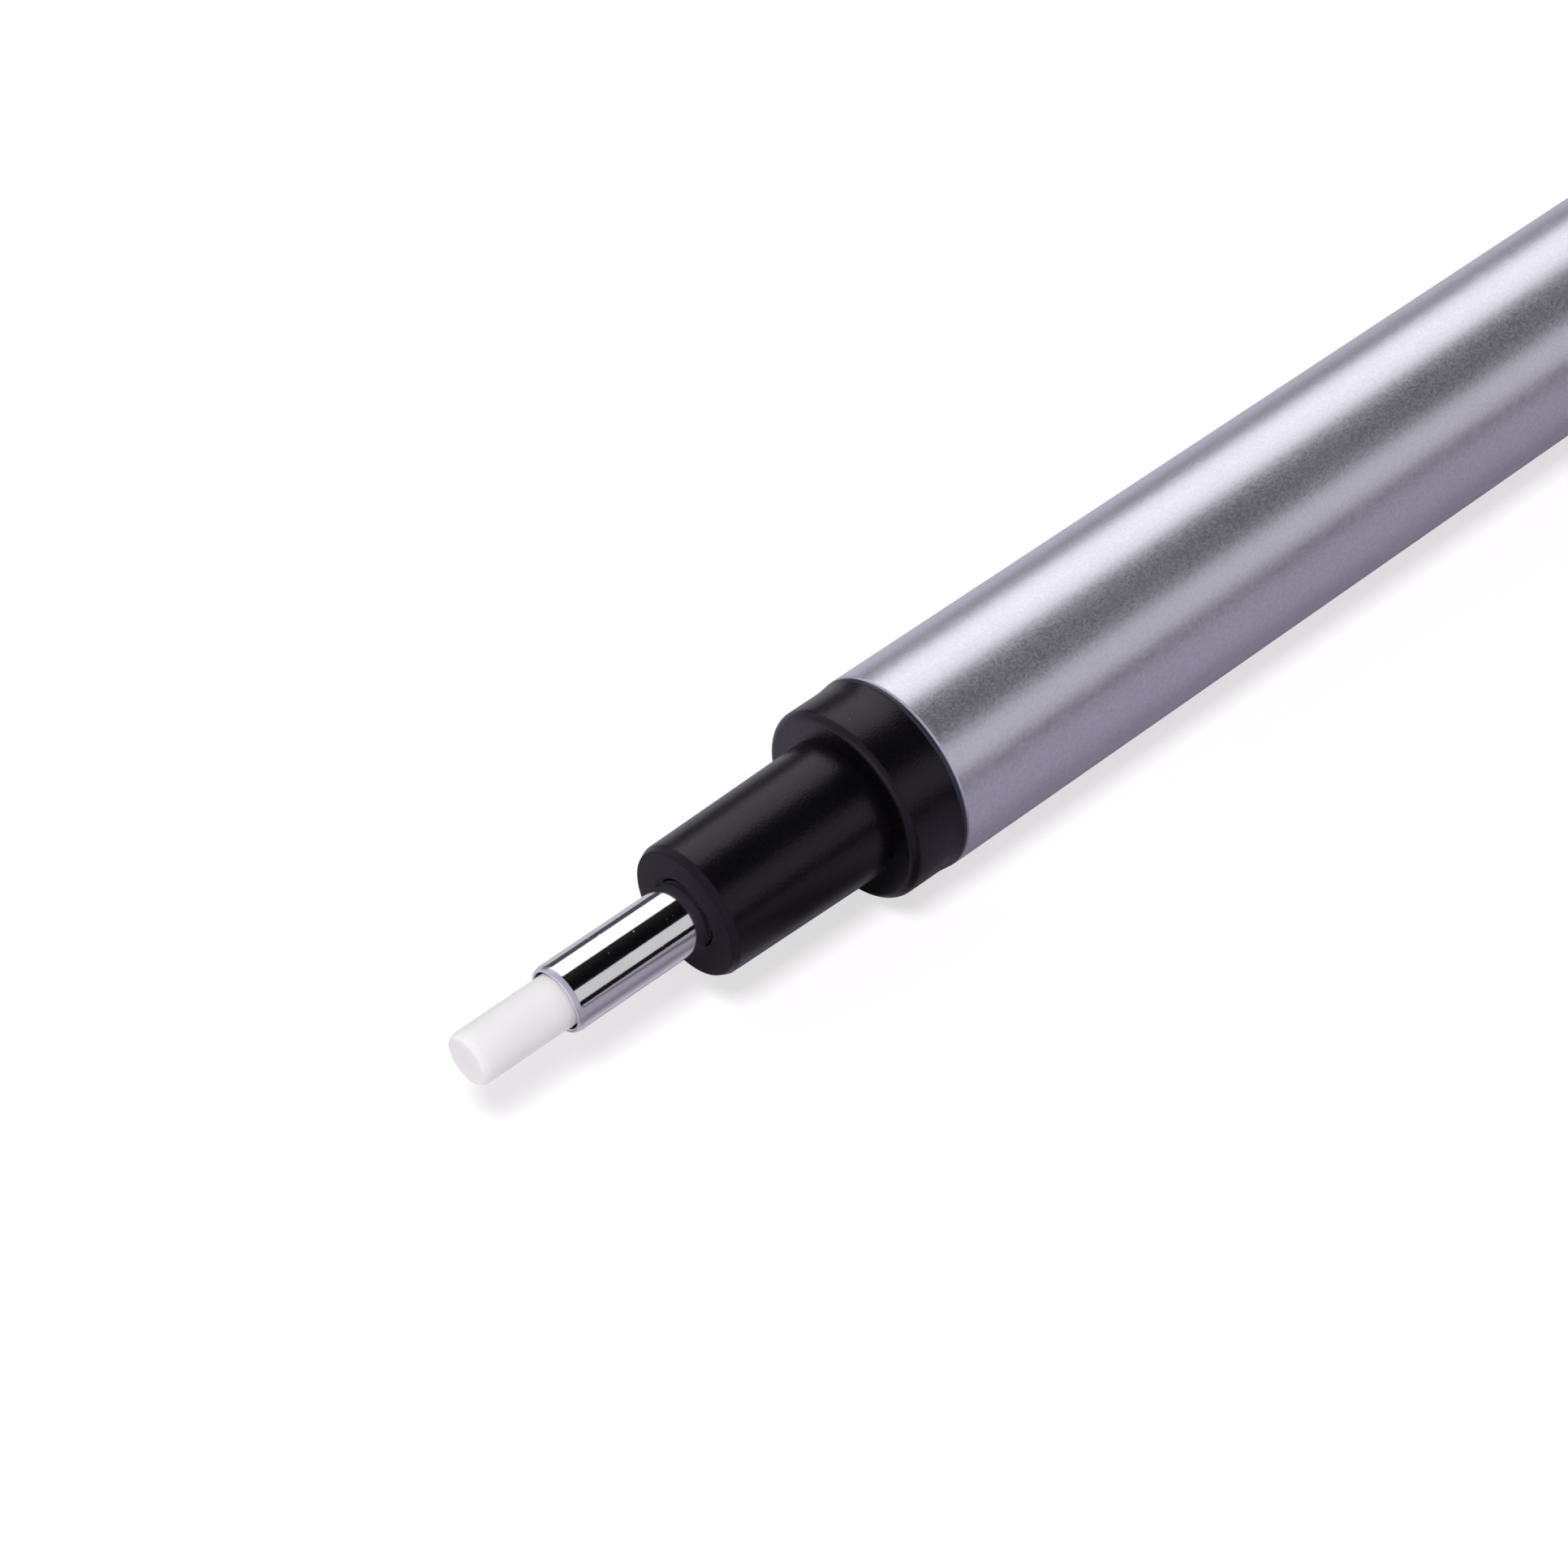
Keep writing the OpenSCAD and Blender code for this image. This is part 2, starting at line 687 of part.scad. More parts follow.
// Closed button: skirt in the bush, wider head with grip grooves, bore for the core tube
module push_button() {
    bore_r = tank_r + press_gap;
    groove_r = button_head_r - groove_depth;
    grip_groove_r = bore_r + grip_ring_t + end_gap;
    x_groove = x_button_head + button_front_plain;
    color("darkslategray")
        lathe(concat(
            [
                [x_skirt, bore_r],
                [x_skirt, button_r - skirt_chamfer],
                [x_skirt + skirt_chamfer, button_r],
                [x_button_head, button_r],
                [x_button_head, button_head_r - skirt_chamfer],
                [x_button_head + skirt_chamfer, button_head_r]
            ],
            [for (i = [0:groove_count - 1], p = groove_points(x_groove + i * groove_pitch, groove_r)) p],
            arc(x_end - button_edge_r, button_head_r - button_edge_r, button_edge_r, 90, 0),
            [
                [x_end, 0],
                [x_end - button_end_t, 0],
                [x_end - button_end_t, tank_in_r],
                [x_tank_end + end_gap, tank_in_r],
                [x_tank_end + end_gap, bore_r],
                [x_grip + grip_ring_t / 2 + end_gap, bore_r],
                [x_grip + grip_ring_t / 2 + end_gap, grip_groove_r],
                [x_grip - grip_ring_t / 2 - end_gap, grip_groove_r],
                [x_grip - grip_ring_t / 2 - end_gap, bore_r]
            ]
        ));
}

// One V groove of the button's grip, centred at x
function groove_points(x, low_r) =
    [[x - groove_depth, button_head_r], [x, low_r], [x + groove_depth, button_head_r]];

// Rubber ring in the button's bore that holds the button on the core tube
module button_grip() {
    color("saddlebrown")
        rotate([0, 90, 0])
            translate([0, 0, x_grip])
                rotate_extrude()
                    translate([tank_r + press_gap + grip_ring_t / 2, 0])
                        circle(grip_ring_t / 2);
}

in_place() eraser_core();
in_place() guide_sleeve();
in_place() nose_cone();
in_place() front_insert();
in_place() barrel();
in_place() friction_ring();
in_place() friction_retainer();
in_place() chuck();
in_place() clutch_ring();
in_place() clutch_sleeve();
in_place() return_spring();
in_place() spring_washer();
in_place() chuck_joint();
in_place() core_tube();
in_place() tail_bush();
in_place() tail_ring();
in_place() pocket_clip();
in_place() push_button();
in_place() button_grip();
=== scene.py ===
"""Looks of a pen-type retractable eraser: its visible pieces, their finishes, the table and the studio."""

import logging
import math
from dataclasses import dataclass
from enum import Enum
from functools import cache
from typing import Callable, Iterator

import bmesh
import bpy
from bpy.types import Material, NodeSocket, NodeTree, Object
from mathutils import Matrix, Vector


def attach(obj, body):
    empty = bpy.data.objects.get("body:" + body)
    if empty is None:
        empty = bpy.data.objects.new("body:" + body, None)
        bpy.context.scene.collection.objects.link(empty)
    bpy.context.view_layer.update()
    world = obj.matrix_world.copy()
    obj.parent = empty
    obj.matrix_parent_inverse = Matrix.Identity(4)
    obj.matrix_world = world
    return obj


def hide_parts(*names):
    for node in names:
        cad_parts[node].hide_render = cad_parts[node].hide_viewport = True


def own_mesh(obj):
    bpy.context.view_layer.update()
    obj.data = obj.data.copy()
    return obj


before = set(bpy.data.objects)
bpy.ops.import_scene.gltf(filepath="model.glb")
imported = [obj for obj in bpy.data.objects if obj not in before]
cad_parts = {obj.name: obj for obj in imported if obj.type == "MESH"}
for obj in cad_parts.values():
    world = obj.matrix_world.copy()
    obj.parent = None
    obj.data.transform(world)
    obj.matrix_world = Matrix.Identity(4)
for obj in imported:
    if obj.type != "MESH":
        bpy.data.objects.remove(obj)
LOG = logging.getLogger("eraser")

MM = 0.001
Place = tuple[float, float, float]
Colour = tuple[float, float, float]
Span = tuple[float, float]
DARK: Colour = (0.007, 0.006, 0.007)
DIM: Colour = (0.13, 0.125, 0.14)

# Edges that bend by more degrees than this stay sharp
CREASE_DEG = 32

# Roundings of edges: the size in mm and the number of facets
Edge = tuple[float, int]
FINE: Edge = (0.05, 2)
PLAIN: Edge = (0.1, 2)
SMOOTH: Edge = (0.1, 3)
CONE_EDGE: Edge = (0.04, 4)

# Stretches that draw a pattern out round the pen and along it
ROUND_PEN: Place = (1, 0.02, 0.02)
ALONG_PEN: Place = (0.015, 1, 1)

# Numbers of the Mix node's colour sockets, whose names aren't unique
MIX_A = 6
MIX_B = 7
MIX_RESULT = 2


@dataclass(frozen=True)
class Grain:
    """Cloudy noise: a cloud's size in mm, its layers of detail, and how much tighter each axis is."""

    size: float
    detail: float = 3
    stretch: Place = (1, 1, 1)


def math_operator(operation: str, swapped: bool = False) -> Callable[["Wire", "Wire | float"], "Wire"]:
    """Makes one of Python's operators for wires.

    Args:
        operation: Blender's name of the Math node's operation.
        swapped: whether the wire stands on the right.

    Returns:
        A method that adds the Math node.
    """

    def method(self: "Wire", other: "Wire | float") -> "Wire":
        """Adds the node."""
        first, second = (other, self) if swapped else (self, other)
        return self.graph.node("ShaderNodeMath", {0: first, 1: second}, operation=operation)

    return method


class Wire:
    """A shader socket on which Python's operators add Math nodes. Less-than gives 1 or 0."""

    def __init__(self, graph: "Graph", socket: NodeSocket) -> None:
        """Keeps the socket and the graph that it belongs to."""
        self.graph = graph
        self.socket = socket

    __add__ = math_operator("ADD")
    __radd__ = math_operator("ADD", swapped=True)
    __sub__ = math_operator("SUBTRACT")
    __rsub__ = math_operator("SUBTRACT", swapped=True)
    __mul__ = math_operator("MULTIPLY")
    __rmul__ = math_operator("MULTIPLY", swapped=True)
    __lt__ = math_operator("LESS_THAN")

    def ramp(self, low: float, high: float) -> "Wire":
        """Eases from 0 at low to 1 at high."""
        inputs = {0: self, 1: low, 2: high}
        return self.graph.node("ShaderNodeMapRange", inputs, interpolation_type="SMOOTHSTEP")

    def ramp_mm(self, low: float, high: float) -> "Wire":
        """The same ramp for a place in metres, with its two ends in mm."""
        return self.ramp(low * MM, high * MM)


class Graph:
    """The node tree of one material, with its Principled shader."""

    def __init__(self, name: str) -> None:
        """Makes an empty material with a Principled shader.

        Args:
            name: the material's name.
        """
        self.material = bpy.data.materials.new(name)
        self.material.use_nodes = True
        self.tree = self.material.node_tree
        self.shader = self.tree.nodes["Principled BSDF"]

    def feed(self, socket: NodeSocket, value: Wire | float | Colour) -> None:
        """Links a wire to an input, or sets the input.

        Args:
            socket: the input.
            value: a wire, a number, or a colour that gets the fourth number which the input may want.
        """
        if isinstance(value, Wire):
            self.tree.links.new(value.socket, socket)
        elif isinstance(value, tuple) and len(socket.default_value) > len(value):
            socket.default_value = (*value, 1)
        else:
            socket.default_value = value

    def node(self, kind: str, inputs: dict, output: int | str = 0, **settings: str) -> Wire:
        """Adds a node.

        Args:
            kind: Blender's name of the node's type.
            inputs: values or wires by the input's name or number.
            output: name or number of the output that is returned.
            settings: the node's own settings, which are set first.

        Returns:
            The chosen output.
        """
        made = self.tree.nodes.new(kind)
        for name, value in settings.items():
            setattr(made, name, value)
        for key, value in inputs.items():
            self.feed(made.inputs[key], value)
        return Wire(self, made.outputs[output])

    def set(self, **sockets: Wire | float | Colour) -> None:
        """Sets sockets of the Principled shader, named with _ for a space."""
        for key, value in sockets.items():
            self.feed(self.shader.inputs[key.replace("_", " ")], value)

    def place(self, stretch: Place = (1, 1, 1)) -> Wire:
        """Place on the object in metres.

        Args:
            stretch: what each axis is multiplied by.

        Returns:
            The place.
        """
        here = self.node("ShaderNodeTexCoord", {}, "Object")
        if stretch == (1, 1, 1):
            return here
        return self.node("ShaderNodeMapping", {"Vector": here, "Scale": stretch})

    def along(self) -> Wire:
        """Place along the pen in metres, from the middle of its length."""
        return self.node("ShaderNodeSeparateXYZ", {0: self.place()}, "X")

    def across(self) -> Wire:
        """Place across the pen in metres, from the camera's side to the far side."""
        return self.node("ShaderNodeSeparateXYZ", {0: self.place()}, "Y")

    def off_axis(self) -> Wire:
        """Distance from the pen's axis.

        Returns:
            The distance in metres.
        """
        middle = PEN.axis_point(0)
        inputs = {"Vector": self.place(), "Location": (0, -middle.y, -middle.z), "Scale": (0, 1, 1)}
        flat = self.node("ShaderNodeMapping", inputs)
        return self.node("ShaderNodeVectorMath", {0: flat}, "Value", operation="LENGTH")

    def noise(self, grain: Grain) -> Wire:
        """Cloudy noise between 0 and 1.

        Args:
            grain: its size and detail.

        Returns:
            The noise.
        """
        scale = 1 / (grain.size * MM)
        inputs = {"Vector": self.place(grain.stretch), "Scale": scale, "Detail": grain.detail}
        return self.node("ShaderNodeTexNoise", inputs)

    def flakes(self, size: float) -> Wire:
        """One random number between 0 and 1 for each small cell.

        Args:
            size: size of a cell in mm.

        Returns:
            The cells' numbers.
        """
        inputs = {"Vector": self.place(), "Scale": 1 / (size * MM)}
        cells = self.node("ShaderNodeTexVoronoi", inputs, "Color")
        return self.node("ShaderNodeSeparateColor", {0: cells}, "Red")

    def specks(self, spacing: float, reach: float, share: float) -> Wire:
        """Sparse round specks: 1 inside a speck and 0 elsewhere.

        Args:
            spacing: size in mm of the cells that hold a speck each.
            reach: radius of a speck as a share of its cell.
            share: share of the cells that have a speck.

        Returns:
            The specks.
        """
        inputs = {"Vector": self.place(), "Scale": 1 / (spacing * MM)}
        cells = self.node("ShaderNodeTexVoronoi", inputs, "Distance")
        chance = self.flakes(spacing)
        return (1 - cells.ramp(reach * 0.5, reach)) * (chance < share)

    def mix(self, factor: Wire, first: "Wire | Colour", second: "Wire | Colour") -> Wire:
        """Blends two colours.

        Args:
            factor: 0 for the first colour and 1 for the second.
            first: colour at 0.
            second: colour at 1.

        Returns:
            The blended colour.
        """
        inputs = {0: factor, MIX_A: first, MIX_B: second}
        return self.node("ShaderNodeMix", inputs, MIX_RESULT, data_type="RGBA")

    def bump(self, *layers: tuple[Wire, float, float]) -> Wire:
        """Stacks bumps.

        Args:
            layers: for each bump its height pattern, its depth in mm and its strength.

        Returns:
            The bumped normal.
        """
        normal = None
        for height, depth, strength in layers:
            inputs = {"Height": height, "Distance": depth * MM, "Strength": strength}
            if normal is not None:
                inputs["Normal"] = normal
            normal = self.node("ShaderNodeBump", inputs)
        return normal


@dataclass(frozen=True)
class Vinyl:
    """Soft white eraser vinyl: slightly cloudy, with a fine cut skin and a pinker worn face."""

    slot: str = "eraser_vinyl"
    body: Colour = (0.80, 0.795, 0.80)
    cloud: Colour = (0.78, 0.765, 0.78)
    face: Colour = (0.81, 0.785, 0.81)
    face_places: Span = (-62.24, -62.04)
    clouds: Grain = Grain(0.9)
    skin: Grain = Grain(0.12)
    dents: Grain = Grain(0.6, 2)

    def material(self) -> Material:
        """Makes the material.

        Returns:
            The material.
        """
        graph = Graph(self.slot)
        cloudy = graph.mix(graph.noise(self.clouds), self.body, self.cloud)
        on_face = 1 - graph.along().ramp_mm(*self.face_places)
        skin = graph.noise(self.skin)
        graph.set(
            Base_Color=graph.mix(on_face, cloudy, self.face),
            Roughness=0.55 + 0.2 * skin,
            Subsurface_Weight=0.85,
            Subsurface_Radius=(1.0, 0.9, 0.92),
            Subsurface_Scale=1.2 * MM,
            Specular_IOR_Level=0.3,
            Normal=graph.bump((skin, 0.006, 0.5), (graph.noise(self.dents), 0.03, 0.3)),
        )
        return graph.material


@dataclass(frozen=True)
class Chrome:
    """Bright chrome plating: faint polishing lines, a few pits and a duller rim at the sleeve's front."""

    slot: str = "chrome_plate"
    bright: Colour = (0.91, 0.905, 0.925)
    dull: Colour = (0.78, 0.775, 0.80)
    rim_places: Span = (-57.71, -57.68)
    rim_dull: float = 0.16
    lines: Grain = Grain(0.08, 3, (0.05, 1, 1))
    ripple: Grain = Grain(0.16, 2)
    mist: Grain = Grain(1.6)
    pit_spacing: float = 0.35

    def material(self) -> Material:
        """Makes the material.

        Returns:
            The material.
        """
        graph = Graph(self.slot)
        lines = graph.noise(self.lines)
        ripple = graph.noise(self.ripple)
        mist = graph.noise(self.mist)
        pits = graph.specks(self.pit_spacing, 0.14, 0.3)
        on_rim = 1 - graph.along().ramp_mm(*self.rim_places)
        graph.set(
            Base_Color=graph.mix(pits, graph.mix(mist, self.bright, self.dull), self.dull),
            Metallic=1.0,
            Roughness=0.05 + 0.04 * lines + 0.04 * mist + 0.2 * pits + self.rim_dull * on_rim,
            Normal=graph.bump((lines, 0.0006, 0.35), (ripple, 0.0012, 0.5), (pits, 0.004, 0.5)),
        )
        return graph.material


@dataclass(frozen=True)
class Moulding:
    """Black plastic from an eroded mould: spark texture, faint clouds, a little dust and a duller face."""

    slot: str = "black_moulding"
    dark: Colour = (0.0004, 0.0004, 0.0006)
    light: Colour = (0.0014, 0.0012, 0.0018)
    dust: Colour = (0.20, 0.19, 0.21)
    shine: float = 0.21
    face_dull: float = 0.32
    face_places: Span = (-51.35, -51.25)
    gloss: float = 0.38
    sheen: Colour = (1.0, 0.88, 1.06)
    spark: Grain = Grain(0.12)
    spark_depth: float = 0.02
    clouds: Grain = Grain(2.2)
    dust_spacing: float = 0.9
    dusty_share: float = 0.05

    def material(self) -> Material:
        """Makes the material.

        Returns:
            The material.
        """
        graph = Graph(self.slot)
        spark = graph.noise(self.spark)
        cloud = graph.noise(self.clouds)
        dust = graph.specks(self.dust_spacing, 0.05, self.dusty_share)
        plain = graph.mix(0.5 * cloud + 0.5 * spark, self.dark, self.light)
        on_face = 1 - graph.along().ramp_mm(*self.face_places)
        graph.set(
            Base_Color=graph.mix(dust, plain, self.dust),
            Specular_IOR_Level=self.gloss,
            Specular_Tint=self.sheen,
            Roughness=self.shine + 0.12 * spark + 0.06 * cloud + 0.3 * dust + self.face_dull * on_face,
            Normal=graph.bump((spark, self.spark_depth, 0.4), (cloud, 0.02, 0.1), (dust, 0.01, 0.6)),
        )
        return graph.material


@dataclass(frozen=True)
class Lacquer:
    """Satin silver lacquer: metal flake under a soft clear coat, with a faint orange peel."""

    slot: str = "silver_lacquer"
    light: Colour = (0.79, 0.775, 0.86)
    dark: Colour = (0.60, 0.585, 0.665)
    flake_size: float = 0.09
    peel: Grain = Grain(0.5, 2)
    clouds: Grain = Grain(3.5, 3, (0.4, 1, 1))

    def material(self) -> Material:
        """Makes the material.

        Returns:
            The material.
        """
        graph = Graph(self.slot)
        flake = graph.flakes(self.flake_size)
        peel = graph.noise(self.peel)
        cloud = graph.noise(self.clouds)
        tone = 0.55 * flake + 0.45 * cloud
        graph.set(
            Base_Color=graph.mix(tone, self.dark, self.light),
            Metallic=0.92,
            Roughness=0.28 + 0.06 * flake + 0.05 * cloud,
            Coat_Weight=0.15,
            Coat_Roughness=0.25,
            Normal=graph.bump((flake, 0.003, 0.5), (peel, 0.004, 0.25)),
        )
        return graph.material


@dataclass(frozen=True)
class BareMetal:
    """Bare or plated metal: fine streaks that the tool left, under a cloudy tarnish."""

    slot: str
    light: Colour
    dark: Colour
    roughness: float
    streaks: Grain
    tarnish: Grain = Grain(0.8, 4)
    streak_share: float = 0.4
    streak_dull: float = 0.1
    tarnish_dull: float = 0.12
    depth: float = 0.004

    def material(self) -> Material:
        """Makes the material.

        Returns:
            The material.
        """
        graph = Graph(self.slot)
        streaks = graph.noise(self.streaks)
        tarnish = graph.noise(self.tarnish)
        tone = self.streak_share * streaks + (1 - self.streak_share) * tarnish
        graph.set(
            Base_Color=graph.mix(tone, self.light, self.dark),
            Metallic=1.0,
            Roughness=self.roughness + self.streak_dull * streaks + self.tarnish_dull * tarnish,
            Normal=graph.bump((streaks, self.depth, 0.4)),
        )
        return graph.material


@dataclass(frozen=True)
class Plastic:
    """Plain moulded plastic or rubber: flow clouds and a fine skin."""

    slot: str
    light: Colour
    dark: Colour
    roughness: float
    skin: Grain = Grain(0.12)
    skin_depth: float = 0.006
    glow: float = 0.0
    flow: Grain = Grain(1.8, 4, (0.35, 1, 1))

    def material(self) -> Material:
        """Makes the material.

        Returns:
            The material.
        """
        graph = Graph(self.slot)
        flow = graph.noise(self.flow)
        skin = graph.noise(self.skin)
        graph.set(
            Base_Color=graph.mix(0.7 * flow + 0.3 * skin, self.light, self.dark),
            Roughness=self.roughness + 0.1 * skin + 0.08 * flow,
            Subsurface_Weight=self.glow,
            Subsurface_Radius=(1.0, 1.0, 1.0),
            Subsurface_Scale=0.4 * MM,
            Normal=graph.bump((skin, self.skin_depth, 0.4)),
        )
        return graph.material


@dataclass(frozen=True)
class ButtonMoulding:
    """Black button plastic, polished by the thumb on its crests."""

    slot: str = "button_moulding"
    dark: Colour = (0.008, 0.0075, 0.009)
    rubbed: Colour = (0.020, 0.019, 0.022)
    crest_radii: Span = (3.24, 3.29)
    spark: Grain = Grain(0.12)
    clouds: Grain = Grain(1.4)

    def material(self) -> Material:
        """Makes the material.

        Returns:
            The material.
        """
        graph = Graph(self.slot)
        spark = graph.noise(self.spark)
        cloud = graph.noise(self.clouds)
        on_crest = graph.off_axis().ramp_mm(*self.crest_radii)
        worn = on_crest * cloud.ramp(0.35, 0.7)
        graph.set(
            Base_Color=graph.mix(worn, graph.mix(spark, self.dark, self.rubbed), self.rubbed),
            Roughness=0.40 + 0.12 * spark - 0.12 * worn,
            Normal=graph.bump((spark, 0.009, 0.4), (cloud, 0.02, 0.12)),
        )
        return graph.material


FINISHES = {
    finish.slot: finish
    for finish in (
        Vinyl(),
        Chrome(),
        Moulding(),
        Plastic("dark_insert", (0.010, 0.012, 0.019), (0.016, 0.019, 0.030), 0.20, skin_depth=0.003),
        Lacquer(),
        Plastic("soft_rubber", (0.020, 0.020, 0.022), (0.032, 0.031, 0.034), 0.62, Grain(0.09), 0.012),
        Plastic("natural_plastic", (0.80, 0.81, 0.79), (0.70, 0.715, 0.70), 0.34, glow=0.35),
        BareMetal("brass", (0.80, 0.60, 0.30), (0.62, 0.42, 0.17), 0.24, Grain(0.06, 2, ROUND_PEN)),
        Plastic("grey_plastic", (0.27, 0.28, 0.30), (0.21, 0.22, 0.235), 0.42),
        BareMetal("spring_steel", (0.62, 0.62, 0.64), (0.42, 0.42, 0.45), 0.26, Grain(0.04, 2, ROUND_PEN)),
        BareMetal(
            "clip_steel", (0.80, 0.80, 0.825), (0.62, 0.62, 0.65), 0.13,
            Grain(0.05, 4, ALONG_PEN), Grain(2.5), 0.6, 0.12, 0.06, 0.0016,
        ),
        ButtonMoulding(),
    )
}


@dataclass(frozen=True)
class PenFrame:
    """Where the pen lies. In its own frame X runs from the eraser's tip and +Z is the clip's side."""

    length: float = 124.6
    barrel_r: float = 4.37
    clip_top: float = 6.17
    clip_width: float = 3.6

    @property
    def lean(self) -> float:
        """Angle from the clip's side down to the table, in radians."""
        return math.acos(self.barrel_r / self._corner_reach) + self._corner_turn

    @property
    def axis_y(self) -> float:
        """Sideways place of the axis, in mm."""
        side = self._corner_reach * math.sin(self.lean + self._corner_turn)
        return (side - self.barrel_r) / 2

    @property
    def _corner_reach(self) -> float:
        """Distance from the axis to the clip's outer edge, in mm."""
        return math.hypot(self.clip_top, self.clip_width / 2)

    @property
    def _corner_turn(self) -> float:
        """Angle between the clip's middle and its edge, seen along the axis, in radians."""
        return math.atan2(self.clip_width / 2, self.clip_top)

    def axis_point(self, x: float) -> Vector:
        """Point of the axis at x mm from the tip, in metres in the shared frame."""
        return Vector((x - self.length / 2, self.axis_y, self.barrel_r)) * MM

    def settle(self, piece: Object) -> None:
        """Rolls a finished piece about the axis and lays it down, with its place in its mesh.

        Args:
            piece: the piece, in the pen's own frame and in object mode.
        """
        piece.rotation_euler = (math.pi - self.lean, 0, 0)
        piece.location = self.axis_point(0)
        only(piece)
        bake_place()


PEN = PenFrame()


def deselect() -> None:
    """Deselects every object."""
    bpy.ops.object.select_all(action="DESELECT")


def only(piece: Object) -> None:
    """Makes a piece the one selected and active object.

    Args:
        piece: the piece.
    """
    deselect()
    piece.select_set(True)
    bpy.context.view_layer.objects.active = piece


def named(name: str) -> Object:
    """Names the object that was just added, and its data.

    Args:
        name: the name.

    Returns:
        The object.
    """
    added = bpy.context.active_object
    added.name = added.data.name = name
    return added


def bake_place() -> None:
    """Moves the selected object's place, turn and scale into its mesh."""
    bpy.ops.object.transform_apply(location=True, rotation=True, scale=True)


def extrude(x: float, z: float = 0.0) -> None:
    """Extrudes the selected edges or face by x and z mm."""
    bpy.ops.mesh.extrude_region_move(TRANSFORM_OT_translate={"value": (x * MM, 0, z * MM)})


def face_outward() -> None:
    """Selects all of the mesh in edit mode and turns its faces outward."""
    bpy.ops.mesh.select_all(action="SELECT")
    bpy.ops.mesh.normals_make_consistent(inside=False)


def apply_modifier(piece: Object, kind: str, **settings: object) -> None:
    """Adds a modifier to a piece in object mode and applies it.

    Args:
        piece: the piece.
        kind: Blender's name of the modifier's type.
        settings: the modifier's settings.
    """
    only(piece)
    modifier = piece.modifiers.new(kind.lower(), kind)
    for name, value in settings.items():
        setattr(modifier, name, value)
    bpy.ops.object.modifier_apply(modifier=modifier.name)


def plane(name: str, middle: Vector | Place, length: float, width: float, tilt: float = 0.0) -> Object:
    """Makes a flat rectangle with its place in its mesh.

    Args:
        name: its name.
        middle: place of its middle in metres.
        length: its size along the pen in metres.
        width: its size across the pen in metres.
        tilt: its turn about X in radians.

    Returns:
        The rectangle.
    """
    deselect()
    bpy.ops.mesh.primitive_plane_add(size=1, location=middle, rotation=(tilt, 0, 0))
    made = named(name)
    made.scale = (length, width, 1)
    bake_place()
    return made


class Ends(Enum):
    """How a turned piece is closed at its first and last ring."""

    DISCS = "both rings are filled"
    WALL = "the two rings are joined by a wall"


@dataclass(frozen=True)
class Ring:
    """One ring of a turned piece, in mm: its place from the tip, its radius, and its edge's rounding."""

    x: float
    r: float
    round: float = 0.0
    facets: int = 0


def front_edge(x: float, r: float, length: float, drop: float) -> list[Ring]:
    """Rings of a broken front edge from x mm on: a slim cone to radius r, with softened ends."""
    return [Ring(x, r - drop, *CONE_EDGE), Ring(x + length, r, *CONE_EDGE)]


class Edges:
    """Chooses edges of the mesh in edit mode by their place, in mm in the pen's own frame."""

    # How far off its ring a vertex may be, in mm
    NEAR = 0.0004

    def __init__(self, piece: Object) -> None:
        """Remembers the piece that is in edit mode."""
        self.piece = piece

    def choose(self, wanted: Callable[[Vector], bool]) -> None:
        """Selects the edges whose two ends are both wanted.

        Args:
            wanted: says for a vertex's place whether it is wanted.
        """
        bpy.ops.mesh.select_mode(type="EDGE")
        bpy.ops.mesh.select_all(action="DESELECT")
        mesh = bmesh.from_edit_mesh(self.piece.data)
        for edge in mesh.edges:
            edge.select_set(all(wanted(v.co / MM) for v in edge.verts))
        mesh.select_flush_mode()
        bmesh.update_edit_mesh(self.piece.data)

    def choose_ring(self, ring: Ring) -> None:
        """Selects the edges of one ring."""
        self.choose(
            lambda p: abs(p.x - ring.x) < self.NEAR and abs(math.hypot(p.y, p.z) - ring.r) < self.NEAR
        )


def turn(name: str, rings: list[Ring], ends: Ends, sides: int = 128) -> Object:
    """Models a turned piece: extrudes and scales one ring from place to place, then rounds the edges.

    Args:
        name: the piece's name.
        rings: the rings in order, along the surface.
        ends: how the first and last ring are closed.
        sides: number of sides round the axis.

    Returns:
        The piece, in the pen's own frame and in object mode.
    """
    deselect()
    first = rings[0]
    bpy.ops.mesh.primitive_circle_add(
        vertices=sides, radius=first.r * MM, location=(first.x * MM, 0, 0), rotation=(0, math.pi / 2, 0)
    )
    piece = named(name)
    bake_place()
    bpy.ops.object.mode_set(mode="EDIT")
    bpy.ops.mesh.select_all(action="SELECT")
    for before, ring in zip(rings, rings[1:]):
        extrude(ring.x - before.x)
        if ring.r != before.r:
            share = ring.r / before.r
            bpy.ops.transform.resize(value=(1, share, share), center_override=(ring.x * MM, 0, 0))
    bpy.ops.mesh.select_mode(type="EDGE")
    bpy.ops.mesh.select_all(action="DESELECT")
    bpy.ops.mesh.select_non_manifold(
        use_wire=False, use_multi_face=False, use_non_contiguous=False, use_verts=False
    )
    if ends is Ends.WALL:
        bpy.ops.mesh.bridge_edge_loops()
    else:
        bpy.ops.mesh.fill_holes(sides=0)
    face_outward()
    edges = Edges(piece)
    for ring in rings:
        if ring.round:
            edges.choose_ring(ring)
            bpy.ops.mesh.bevel(offset=ring.round * MM, segments=ring.facets, affect="EDGES")
    bpy.ops.object.mode_set(mode="OBJECT")
    return piece


